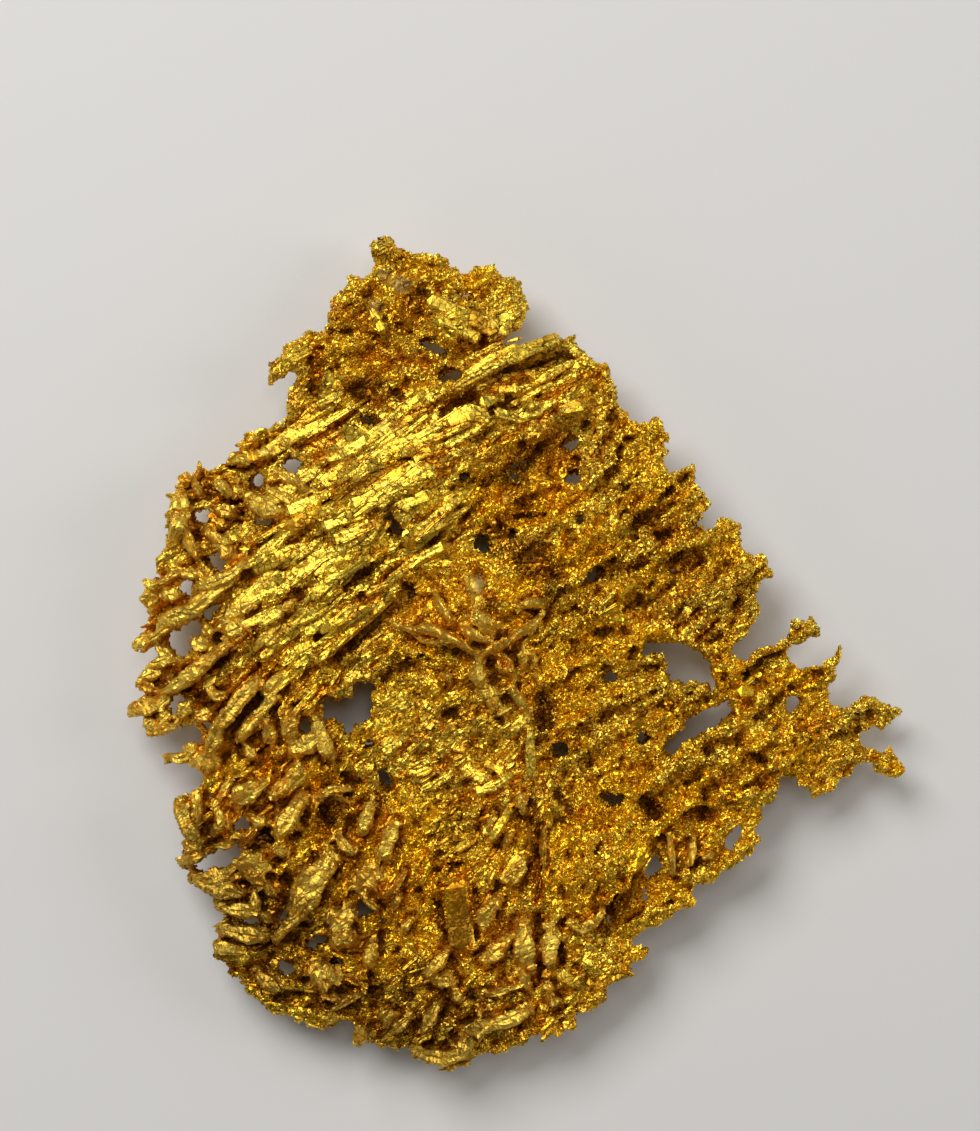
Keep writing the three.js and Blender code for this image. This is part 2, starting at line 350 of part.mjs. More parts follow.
// A closed roof-shaped bar along a course: each ring has a crest, two flanks and a keel, and both ends taper.
function ribGeometry([course, width, rise], index) {
  const stations = stationsAlong(course);
  const last = stations.length - 1;
  const through = width >= THROUGH_WIDTH;
  const positions = [];
  stations.forEach(([x, y], i) => {
    const [ax, ay] = stations[Math.max(i - 1, 0)];
    const [bx, by] = stations[Math.min(i + 1, last)];
    const run = Math.hypot(bx - ax, by - ay);
    const side = [-(by - ay) / run, (bx - ax) / run];
    const size = (i === 0 || i === last ? 0.55 : 0.9 + 0.25 * chance(31 * index + i));
    const half = (width / 2) * size;
    const lean = (chance(17 * index + 3 * i) - 0.5) * 0.5 * width;
    const top = upperFace(x, y) + rise * size;
    const keel = through ? lowerFace(x, y) - 0.5 * rise * size : upperFace(x, y) - RIB_ROOT;
    const flank = upperFace(x, y) - 0.1;
    positions.push(x + side[0] * lean, y + side[1] * lean, top);
    positions.push(x + side[0] * half, y + side[1] * half, flank);
    positions.push(x, y, Math.min(keel, flank - RIB_ROOT));
    positions.push(x - side[0] * half, y - side[1] * half, flank);
  });
  const triangles = [[0, 1, 2], [0, 2, 3]];
  for (let i = 0; i < last; i++) {
    for (let k = 0; k < 4; k++) {
      const a = 4 * i + k;
      const b = 4 * i + ((k + 1) % 4);
      triangles.push([a, b + 4, b], [a, a + 4, b + 4]);
    }
  }
  const end = 4 * last;
  triangles.push([end, end + 2, end + 1], [end, end + 3, end + 2]);
  return new THREE.BufferGeometry()
    .setAttribute("position", new THREE.Float32BufferAttribute(positions, 3))
    .setIndex(triangles.flat());
}

// An uneven crystal from inside the sheet down to just past the resting plane, which cuts it flat.
function footGeometry([x, y], index) {
  const drop = lowerFace(x, y) + FOOT_ROOT;
  const foot = mergeVertices(bare(new THREE.IcosahedronGeometry(FOOT_RADIUS, 0)), MERGE_DISTANCE);
  const p = foot.attributes.position;
  for (let i = 0; i < p.count; i++) {
    const uneven = 0.85 + 0.3 * chance(53 * index + i);
    const z = drop / 2 + (p.getZ(i) / FOOT_RADIUS) * (drop / 2 + FOOT_EXTRA);
    p.setXYZ(i, x + p.getX(i) * uneven, y + p.getY(i) * uneven, z);
  }
  return foot;
}

// ---------- the specimen ----------

// Where crystals cross they can shut a small hollow in. The specimen is solid, so only its outermost
// surface stays.
const outermost = (solid) => solid.decompose().reduce((a, b) => (a.volume() > b.volume() ? a : b));

function crystalSolid() {
  const sheet = solidOf(reliefSlab()).intersect(solidOf(outlinePrism()));
  const ribs = RIBS.map((rib, i) => solidOf(ribGeometry(rib, i)));
  const feet = FEET.map((foot, i) => solidOf(footGeometry(foot, i)));
  const below = new THREE.BoxGeometry(2 * SPECIMEN_WIDTH, 2 * SPECIMEN_HEIGHT, 10).translate(0, 0, -5);
  let grown = outermost(wasm.Manifold.union([sheet, ...ribs, ...feet]).subtract(solidOf(below)));
  for (let pass = 0; pass < CLEANING_PASSES; pass++) grown = outermost(solidOf(geometryOf(grown)));
  return grown;
}

const gold = new THREE.MeshStandardMaterial({ ...GOLD, flatShading: true });
const crystal = new THREE.Mesh(geometryOf(crystalSolid()), gold);
crystal.name = "gold_crystal";

const size = new THREE.Box3().setFromObject(crystal);
const middle = size.getCenter(new THREE.Vector3());
crystal.position.set(-middle.x, -middle.y, 0);

const specimen = new THREE.Group();
specimen.name = "herringbone_gold";
specimen.add(crystal);

export default specimen;
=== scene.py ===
import json
import math

import bpy
import numpy as np
from bpy.props import FloatProperty, FloatVectorProperty, IntProperty, PointerProperty
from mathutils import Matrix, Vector
from mathutils.bvhtree import BVHTree

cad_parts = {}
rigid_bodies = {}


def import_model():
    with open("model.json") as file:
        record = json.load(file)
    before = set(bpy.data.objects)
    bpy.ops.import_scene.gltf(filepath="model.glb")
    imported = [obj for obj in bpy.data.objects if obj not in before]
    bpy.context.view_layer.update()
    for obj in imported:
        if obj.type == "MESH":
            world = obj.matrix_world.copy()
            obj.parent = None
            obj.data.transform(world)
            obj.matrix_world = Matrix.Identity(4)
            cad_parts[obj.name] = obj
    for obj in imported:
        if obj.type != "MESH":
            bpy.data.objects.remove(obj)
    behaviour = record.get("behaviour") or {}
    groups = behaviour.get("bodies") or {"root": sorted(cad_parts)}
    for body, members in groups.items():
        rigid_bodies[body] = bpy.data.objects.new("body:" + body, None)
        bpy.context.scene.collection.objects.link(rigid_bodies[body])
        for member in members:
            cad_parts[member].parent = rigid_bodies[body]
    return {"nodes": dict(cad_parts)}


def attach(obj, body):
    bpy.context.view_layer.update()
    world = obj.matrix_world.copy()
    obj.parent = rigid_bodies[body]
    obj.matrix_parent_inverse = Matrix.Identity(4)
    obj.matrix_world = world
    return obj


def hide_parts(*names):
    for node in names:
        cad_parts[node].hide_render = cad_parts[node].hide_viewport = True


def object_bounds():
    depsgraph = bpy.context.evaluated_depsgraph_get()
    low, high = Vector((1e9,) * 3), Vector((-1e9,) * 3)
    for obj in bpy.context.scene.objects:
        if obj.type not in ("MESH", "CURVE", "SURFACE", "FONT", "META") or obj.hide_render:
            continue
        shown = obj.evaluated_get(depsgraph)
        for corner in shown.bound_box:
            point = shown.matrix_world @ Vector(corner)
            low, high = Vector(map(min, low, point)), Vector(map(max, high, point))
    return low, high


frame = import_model()
CAD_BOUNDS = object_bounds()

bl_info = {
    "name": "Herringbone Gold Crystal",
    "version": (1, 0, 0),
    "blender": (4, 5, 0),
    "location": "3D View > Sidebar > Gold Crystal",
    "description": "Grows a ribbed, faceted sheet of native gold on its solid",
    "category": "Object",
}

MM = 0.001  # all shapes are worked out in millimetres and turned into metres at the end
NODE = "gold_crystal"
HIGH_ABOVE = 30  # where a line that falls on the specimen starts
FAR_BELOW = -5  # where a line that rises to it starts


def with_courses(lead, rows):
    """Rows of numbers turned into rows that end in a course.

    A row holds so many leading numbers, and then the x and y of each point of its course.
    """
    return [(*row[:lead], list(zip(row[lead::2], row[lead + 1::2]))) for row in rows]


# ---------- listed structure, in millimetres ---------------

# Growth zones: x, y, reach, rib direction in degrees, plate length, plate width, plate step,
# crevice depth, roundness, grain, pitting, yellowness, gloss.
ZONES = {
    "top lobe": (-5.0, 17.2, 3.6, 30, 1.6, 0.8, 0.34, 0.25, 0.4, 0.12, 0.3, 0.62, 0.4),
    "upper band, right": (0.2, 13.2, 3.4, 30, 3.6, 1.0, 0.36, 0.25, 0.1, 0.05, 0.2, 0.95, 0.8),
    "upper band, middle": (-6.5, 9.0, 3.8, 34, 5.5, 0.9, 0.26, 0.22, 0.1, 0.05, 0.9, 1.00, 0.9),
    "upper band, left": (-11.5, 4.2, 3.4, 36, 5.0, 0.8, 0.26, 0.26, 0.1, 0.05, 0.8, 0.95, 0.8),
    "band foot": (-11.0, 0.2, 2.6, 42, 3.6, 0.8, 0.30, 0.35, 0.3, 0.05, 0.5, 0.85, 0.8),
    "left fringe": (-17.2, -0.6, 2.6, 28, 1.8, 0.7, 0.20, 0.20, 0.6, 0.04, 0.0, 0.75, 0.8),
    "left shoulder": (-14.6, 8.6, 2.6, 12, 1.4, 0.9, 0.25, 0.30, 0.6, 0.05, 0.4, 0.75, 0.8),
    "valley": (0.2, 8.4, 2.6, 38, 2.4, 0.8, 0.45, 0.40, 0.3, 0.10, 0.0, 0.10, 0.3),
    "right shoulder": (5.2, 8.6, 3.6, 42, 3.2, 0.7, 0.38, 0.50, 0.4, 0.12, 0.2, 0.45, 0.25),
    "right step": (9.0, 4.2, 3.2, 32, 3.2, 0.7, 0.34, 0.42, 0.4, 0.12, 0.2, 0.50, 0.35),
    "middle": (3.2, 2.6, 3.0, 36, 3.0, 0.7, 0.34, 0.42, 0.4, 0.12, 0.1, 0.34, 0.25),
    "hump": (-2.6, 1.4, 2.6, 5, 1.4, 0.9, 0.15, 0.15, 0.6, 0.10, 0.0, 0.45, 0.4),
    "basin": (-3.8, -6.0, 3.6, 35, 1.4, 0.9, 0.10, 0.10, 0.5, 0.10, 0.5, 0.80, 0.8),
    "fan root": (5.0, -3.2, 3.2, 26, 3.2, 0.7, 0.34, 0.42, 0.4, 0.12, 0.1, 0.46, 0.3),
    "fan": (13.5, -4.0, 4.6, 24, 3.0, 0.65, 0.32, 0.40, 0.4, 0.11, 0.0, 0.46, 0.35),
    "bulge": (4.6, -9.4, 3.2, 52, 1.2, 0.8, 0.12, 0.10, 0.7, 0.13, 0.0, 0.35, 0.2),
    "lower right": (8.6, -9.6, 2.8, 48, 2.8, 0.7, 0.32, 0.36, 0.4, 0.12, 0.1, 0.40, 0.25),
    "blades": (-13.8, -8.6, 3.6, 38, 2.6, 0.9, 0.36, 0.36, 0.6, 0.03, 0.0, 0.60, 0.9),
    "lower left": (-11.6, -14.4, 3.8, -8, 2.4, 0.9, 0.35, 0.35, 0.7, 0.05, 0.1, 0.55, 0.7),
    "middle left": (-8.0, -9.4, 3.2, 58, 2.4, 0.8, 0.36, 0.32, 0.4, 0.10, 0.0, 0.12, 0.4),
    "spine": (1.1, -9.6, 1.8, 88, 2.6, 0.7, 0.30, 0.30, 0.4, 0.07, 0.0, 0.35, 0.6),
    "foot": (-1.6, -16.4, 4.2, 32, 1.2, 0.7, 0.26, 0.25, 0.5, 0.11, 0.2, 0.72, 0.6),
    "lower middle": (-4.8, -12.8, 2.8, 62, 2.6, 0.8, 0.36, 0.32, 0.3, 0.08, 0.0, 0.08, 0.6),
}

# Smooth fingers, lenses and beads that stand on the sheet: width, rise, course.
FINGERS = with_courses(2, [
    # beads in the band
    (0.45, 0.4, -6.7, 11.1, -6.5, 11.1), (0.3, 0.4, -6.15, 11.2, -6.05, 11.0),
    (0.4, 0.4, -0.6, 7.6, -0.4, 7.6), (0.35, 0.3, -1.2, 6.4, -1.1, 6.3),
    # left shoulder
    (0.9, 0.4, -16.7, 7.7, -16.6, 7.0), (0.7, 0.5, -16.5, 6.7, -16.8, 6.0, -17.0, 5.6),
    (0.5, 0.5, -16.4, 6.2, -16.2, 5.4, -15.9, 4.7), (0.45, 0.4, -16.0, 8.3, -15.7, 7.8),
    (0.22, 0.3, -15.75, 9.4, -15.8, 8.8), (0.6, 0.3, -16.8, 8.6, -16.2, 8.5),
    (0.5, 0.4, -14.9, 8.4, -14.5, 8.0, -14.2, 7.7), (0.5, 0.45, -14.2, 9.4, -13.6, 9.5, -13.3, 9.3),
    (0.6, 0.35, -12.8, 9.7, -12.3, 9.9), (0.5, 0.35, -11.6, 10.6, -11.4, 10.2),
    (0.5, 0.3, -11.1, 9.9, -10.9, 9.7), (0.9, 0.3, -13.2, 7.6, -12.4, 7.0, -11.8, 6.9),
    (0.7, 0.3, -14.7, 7.0, -14.2, 6.9), (0.6, 0.3, -15.4, 5.9, -14.6, 5.4),
    (0.7, 0.3, -14.6, 5.1, -14.2, 4.7), (0.5, 0.35, -12.2, 8.0, -11.6, 7.7, -11.1, 7.4),
    (0.5, 0.35, -11.8, 8.8, -11.0, 8.5, -10.5, 8.0),
    (0.6, 0.4, -15.9, 3.1, -14.9, 3.4, -14.0, 3.8, -13.5, 4.4),
    (0.5, 0.3, -17.7, 3.3, -16.8, 3.9, -15.8, 3.8, -15.2, 3.4), (0.55, 0.3, -18.4, 3.2, -17.9, 3.3),
    # left fringe
    (0.8, 0.35, -18.2, 2.9, -18.3, 2.2), (0.7, 0.3, -17.5, 2.8, -16.8, 2.7),
    (0.75, 0.35, -17.6, 1.3, -16.9, 1.7, -16.2, 1.9, -15.6, 2.3, -14.9, 2.9),
    (0.8, 0.3, -17.3, 1.6, -16.6, 1.5), (0.65, 0.35, -18.9, 0.1, -18.4, 0.7),
    (0.4, 0.3, -18.4, 0.4, -17.8, 0.8, -17.3, 1.2), (0.5, 0.3, -17.9, 0.2, -17.4, -0.2, -17.0, -0.6),
    (0.55, 0.3, -18.3, -0.8, -17.5, -0.5, -16.9, -0.5), (0.55, 0.3, -18.6, -1.35, -17.7, -1.1),
    (0.7, 0.5, -17.6, -2.1, -16.8, -1.7, -16.0, -1.1, -15.2, -0.4, -14.4, 0.2),
    (0.5, 0.3, -18.9, -1.7, -17.9, -2.0), (0.9, 0.4, -19.3, -3.0, -18.6, -2.8, -17.9, -2.6),
    (0.6, 0.35, -18.4, -3.4, -18.1, -3.9), (0.5, 0.3, -18.4, -4.2, -17.5, -3.9, -16.9, -3.8),
    (0.55, 0.4, -17.7, -3.5, -17.3, -3.1), (0.5, 0.3, -17.9, -3.0, -17.3, -2.3),
    (0.7, 0.3, -16.7, -3.3, -16.3, -2.6), (0.7, 0.35, -15.8, -3.3, -15.1, -3.1),
    (0.5, 0.35, -15.3, -1.4, -15.2, -1.9, -14.9, -2.3, -14.4, -2.2),
    (0.85, 0.55, -14.7, -3.7, -14.1, -3.0, -13.6, -2.3, -12.9, -1.6),
    (0.75, 0.5, -15.3, -5.0, -14.9, -4.4, -14.7, -3.6),
    (0.65, 0.5, -13.7, -4.4, -13.2, -3.6, -12.5, -2.9, -12.0, -2.2),
    (0.5, 0.35, -12.6, -2.2, -12.1, -1.6, -11.7, -1.2), (0.7, 0.3, -16.2, 0.6, -15.8, 0.4, -15.2, 0.2),
    (0.6, 0.3, -15.5, 1.3, -15.2, 0.9), (0.6, 0.3, -14.9, 1.1, -14.3, 1.6, -13.8, 2.0),
    (0.8, 0.35, -14.3, 0.9, -13.6, 1.2), (0.6, 0.3, -13.6, 2.0, -13.1, 2.3),
    (0.6, 0.3, -12.4, 0.3, -12.0, 0.7), (0.5, 0.3, -11.5, 2.0, -11.0, 2.4),
    (0.9, 0.4, -11.2, -3.2, -11.2, -4.2), (0.7, 0.3, -12.3, -3.6, -12.2, -4.6),
    (0.5, 0.3, -17.6, -5.3, -16.7, -5.4, -16.3, -5.2), (0.8, 0.3, -16.4, -4.8, -15.9, -5.0),
    (1.1, 0.4, -15.8, -5.4, -15.2, -5.5), (0.5, 0.3, -13.4, -4.8, -13.0, -5.3),
    # lower left
    (0.55, 0.5, -15.9, -8.7, -15.8, -7.9, -15.9, -7.0), (0.6, 0.4, -16.7, -7.6, -16.3, -8.2),
    (0.8, 0.5, -13.9, -7.6, -13.2, -7.1, -12.7, -6.6), (0.45, 0.4, -15.0, -7.8, -14.5, -7.0, -14.2, -6.5),
    (0.55, 0.5, -14.8, -7.8, -14.6, -8.6, -15.0, -9.1), (0.4, 0.45, -14.4, -8.1, -14.3, -8.8),
    (0.4, 0.4, -15.0, -9.7, -14.4, -9.7, -14.0, -9.4), (0.7, 0.4, -16.5, -9.5, -15.9, -9.8),
    (0.5, 0.4, -16.8, -10.6, -16.2, -10.4, -15.5, -10.1), (0.6, 0.45, -13.1, -8.3, -12.5, -8.6),
    (0.3, 0.45, -13.9, -9.1, -13.3, -9.4, -13.0, -9.1), (0.7, 0.4, -13.4, -10.4, -12.8, -10.3),
    (0.6, 0.4, -13.2, -10.9, -12.4, -10.7), (0.35, 0.6, -11.8, -7.9, -11.75, -8.5, -11.7, -9.0),
    (0.5, 0.5, -11.2, -8.2, -10.8, -8.8), (0.5, 0.4, -11.9, -10.0, -11.4, -10.0),
    (0.9, 0.5, -15.9, -11.5, -15.2, -11.3, -14.3, -11.1),
    (0.7, 0.4, -15.0, -12.1, -14.2, -11.9, -13.7, -12.1), (0.5, 0.4, -12.3, -11.6, -12.1, -12.1),
    (0.5, 0.4, -13.0, -12.0, -12.9, -12.8), (0.5, 0.4, -12.6, -13.1, -12.2, -13.4),
    (0.8, 0.5, -10.8, -12.5, -10.3, -12.1, -9.9, -11.8), (0.5, 0.4, -11.2, -12.4, -11.1, -13.1),
    (0.6, 0.4, -11.9, -14.4, -11.4, -13.7, -10.8, -13.2),
    (0.8, 0.35, -14.6, -13.9, -13.5, -14.1, -12.6, -14.2), (0.6, 0.3, -14.9, -14.9, -14.0, -14.9),
    (0.9, 0.7, -11.7, -9.1, -10.7, -7.4), (0.8, 0.6, -9.9, -3.5, -9.3, -5.1),
    (0.6, 0.4, -9.4, -11.2, -9.1, -10.5), (0.5, 0.4, -8.9, -9.2, -8.5, -9.7, -8.1, -10.0),
    (0.4, 0.4, -7.5, -12.4, -7.0, -12.8), (0.4, 0.4, -6.1, -12.8, -5.8, -12.3),
    (0.4, 0.4, -5.7, -14.0, -5.2, -13.4), (0.4, 0.4, -9.9, -7.3, -9.1, -6.9, -8.3, -6.9),
    (0.3, 0.3, -9.8, -7.7, -9.0, -7.3, -8.5, -7.5), (1.3, 0.3, -7.6, -11.6, -7.2, -11.2),
    (0.25, 0.4, -6.6, -12.3, -6.1, -11.8, -5.7, -11.2), (0.25, 0.4, -6.0, -11.9, -5.5, -11.0),
    # lower rim
    (0.45, 0.4, -9.6, -17.2, -8.9, -17.3), (0.35, 0.5, -9.1, -17.9, -8.4, -17.4, -7.5, -17.1),
    (1.1, 0.4, -9.8, -16.4, -9.3, -16.4), (0.95, 0.5, -8.0, -19.1, -7.5, -19.3),
    (0.9, 0.4, -6.5, -18.3, -6.2, -18.4), (0.4, 0.5, -6.2, -19.0, -5.7, -18.7, -5.2, -18.2),
    (0.6, 0.45, -3.0, -17.1, -2.8, -17.3), (0.9, 0.45, -2.1, -18.9, -1.7, -18.8),
    (0.3, 0.4, -1.8, -17.8, -1.8, -18.2), (0.9, 0.35, -2.9, -19.6, -2.4, -19.7),
    (0.3, 0.4, -2.0, -17.2, -1.0, -17.0, 0.3, -16.6), (0.7, 0.35, -3.9, -16.5, -3.3, -16.5),
    # broad leaves on the left
    (0.8, 0.45, -10.7, -13.3, -9.9, -11.8, -9.1, -10.4), (0.7, 0.4, -11.1, -12.4, -10.3, -11.0),
    (0.9, 0.4, -9.1, -13.3, -8.3, -14.5), (0.8, 0.4, -13.7, -10.5, -12.5, -11.5),
    (0.7, 0.4, -12.0, -7.2, -10.8, -5.9), (0.8, 0.4, -16.8, -7.4, -16.3, -8.8, -15.9, -9.3),
    (0.7, 0.4, -14.7, -12.8, -12.8, -13.0), (0.7, 0.4, -4.9, -20.0, -3.6, -20.3, -2.5, -20.1),
    (0.8, 0.4, -1.8, -13.6, -1.0, -12.5), (0.7, 0.4, -1.5, -15.5, -0.3, -14.3),
    (0.6, 0.4, -0.1, -11.5, 0.4, -10.4), (0.7, 0.35, -2.3, -18.8, -0.5, -18.4, 0.6, -17.9),
    (0.9, 0.4, -10.9, -5.0, -9.8, -4.3), (0.8, 0.45, -14.2, -7.5, -12.9, -6.6),
    (1.0, 0.45, -10.5, -11.9, -9.3, -10.3), (0.9, 0.45, -15.9, -11.3, -14.0, -12.0),
    (1.0, 0.4, -9.9, -15.9, -9.1, -16.3), (0.9, 0.4, -8.9, -14.6, -8.3, -13.0),
    (0.8, 0.4, -6.6, -10.2, -6.1, -8.8), (0.7, 0.4, -7.6, -8.9, -7.2, -7.6),
    (0.6, 0.4, -4.4, -16.2, -3.4, -15.0), (0.7, 0.4, -12.9, -16.1, -11.8, -16.9),
    (0.6, 0.4, -7.4, -15.6, -7.0, -14.6), (0.6, 0.4, -4.6, -18.9, -3.9, -17.7),
    # leaves and columns round the spine
    (0.95, 0.45, 0.4, -13.8, 0.45, -14.9, 0.6, -16.0), (0.9, 0.45, 1.7, -13.9, 1.65, -15.4),
    (0.5, 0.35, 0.4, -16.0, 0.6, -16.7), (0.5, 0.4, 1.8, -17.3, 2.0, -17.6),
    (0.5, 0.4, 1.5, -16.7, 1.8, -16.8), (0.5, 0.4, 2.7, -13.6, 3.3, -13.85, 3.9, -13.5, 4.3, -13.0),
    (0.5, 0.4, 0.2, -7.2, 0.4, -8.0), (0.25, 0.4, 1.35, -8.8, 1.35, -9.8, 1.4, -10.6),
    (0.25, 0.4, 0.75, -8.7, 0.75, -9.9), (0.35, 0.6, 7.6, -9.2, 7.7, -10.1, 7.85, -11.1),
    (0.35, 0.4, 8.85, -9.3, 8.7, -10.6), (0.35, 0.5, 9.4, -10.3, 9.8, -10.1),
    (0.3, 0.4, -1.45, -9.0, -1.1, -8.2), (0.3, 0.4, -0.7, -9.8, -0.2, -9.1),
    (0.4, 0.4, -0.5, -11.2, 0.1, -10.7),
])

# Grainy mounds and knobs: width, rise, course.
MOUNDS = with_courses(2, [
    # top lobe
    (1.25, 0.5, -6.9, 20.2, -6.5, 19.8), (2.0, 0.45, -3.6, 16.4, -2.7, 15.9),
    (0.5, 0.5, -7.1, 16.5, -6.85, 15.8), (0.6, 0.35, -6.9, 17.7, -6.9, 17.1),
    (0.3, 0.3, -6.5, 17.5, -6.4, 17.0, -6.1, 16.9), (0.9, 0.3, -8.6, 17.9, -7.6, 18.2),
    (0.8, 0.3, -9.4, 16.4, -8.4, 16.3), (0.9, 0.3, -9.4, 15.1, -8.4, 15.0),
    (0.8, 0.35, -3.9, 19.5, -3.5, 19.0), (0.7, 0.3, -1.6, 18.9, -1.3, 18.4),
    (0.8, 0.3, -3.9, 18.6, -3.0, 18.2), (0.25, 0.3, -2.0, 16.5, -1.8, 16.0),
    (0.2, 0.3, -1.4, 16.0, -1.1, 16.4), (1.5, 0.3, -9.2, 13.5, -9.0, 12.5),
    (0.9, 0.3, -5.0, 14.2, -4.6, 13.4), (0.9, 0.5, -9.3, 16.7, -7.6, 17.4),
    (0.9, 0.5, -12.3, 13.6, -11.5, 14.2, -10.8, 14.8), (1.1, 0.5, -11.4, 14.9, -10.7, 14.3),
    (0.8, 0.5, -11.3, 11.6, -10.7, 13.3),
    # right half
    (0.45, 0.35, 1.2, 3.0, 3.0, 3.9, 4.7, 4.6), (0.6, 0.4, 4.5, 1.5, 5.6, 2.8, 6.8, 4.3),
    (0.5, 0.35, 6.8, 2.7, 7.3, 4.2, 8.1, 4.7), (0.7, 0.4, 9.3, 2.0, 10.9, 3.4, 11.8, 4.3),
    (0.5, 0.35, 3.2, 5.6, 4.4, 6.4, 5.6, 7.4), (0.5, 0.35, 2.0, 4.1, 3.2, 5.0, 4.4, 6.2),
    (0.5, 0.35, 6.3, 0.9, 7.4, 0.8, 8.6, 0.5), (0.6, 0.35, 4.2, -0.2, 5.2, -0.1),
    (0.6, 0.4, 7.9, -1.8, 9.2, -1.9, 10.5, -2.4), (0.5, 0.35, 2.3, -5.5, 3.9, -4.6, 5.4, -3.4),
    (0.6, 0.4, 6.1, -7.3, 7.5, -6.0, 8.7, -5.2), (0.5, 0.35, 10.0, -7.2, 11.9, -6.1, 13.5, -5.0),
    (0.45, 0.35, 12.4, -5.9, 14.0, -4.8, 15.4, -4.3), (0.5, 0.35, 1.8, 6.0, 3.0, 6.9, 4.4, 7.8),
    (0.5, 0.35, 3.6, 8.6, 4.4, 9.6, 5.3, 10.6), (0.45, 0.35, 6.5, 7.9, 7.4, 8.6, 8.3, 9.1),
    (0.45, 0.35, 8.6, 6.0, 9.4, 7.0), (0.45, 0.35, 7.4, 4.9, 8.7, 5.4, 9.8, 5.9),
    (2.3, 0.25, 4.7, 1.6, 5.3, 1.9), (0.8, 0.4, 7.1, -0.4, 7.4, -0.3),
    (0.3, 0.35, 1.3, -4.0, 1.8, -4.3, 2.4, -4.6), (0.45, 0.4, 8.4, 6.7, 8.6, 6.2),
    (0.3, 0.35, 8.0, 8.4, 8.1, 7.8), (0.45, 0.4, 3.5, 6.6, 3.65, 6.4), (0.35, 0.3, 6.4, 4.0, 6.9, 4.3),
    (1.2, 0.45, 14.2, 1.3, 14.7, 1.1), (0.7, 0.4, 13.7, 1.5, 13.9, 1.4), (0.4, 0.4, 16.1, 0.2, 16.05, -0.3),
    (0.5, 0.4, 15.3, -0.9, 15.9, -0.8), (0.5, 0.35, 16.1, -0.9, 16.3, -0.6),
    (0.3, 0.4, 12.1, -2.6, 12.5, -2.0), (0.6, 0.35, 12.5, -1.4, 12.7, -1.2),
    (0.9, 0.35, 10.5, -1.0, 10.8, -0.9), (0.9, 0.4, 17.6, -2.6, 18.0, -2.7),
    (0.5, 0.4, 18.4, -2.8, 18.9, -3.1), (1.2, 0.4, 16.2, -4.8, 16.7, -5.1),
    (0.9, 0.35, 18.2, -5.4, 18.7, -5.6), (0.4, 0.35, 16.3, -3.4, 16.9, -3.2),
    (0.35, 0.35, 8.2, -2.3, 8.7, -2.6),
])

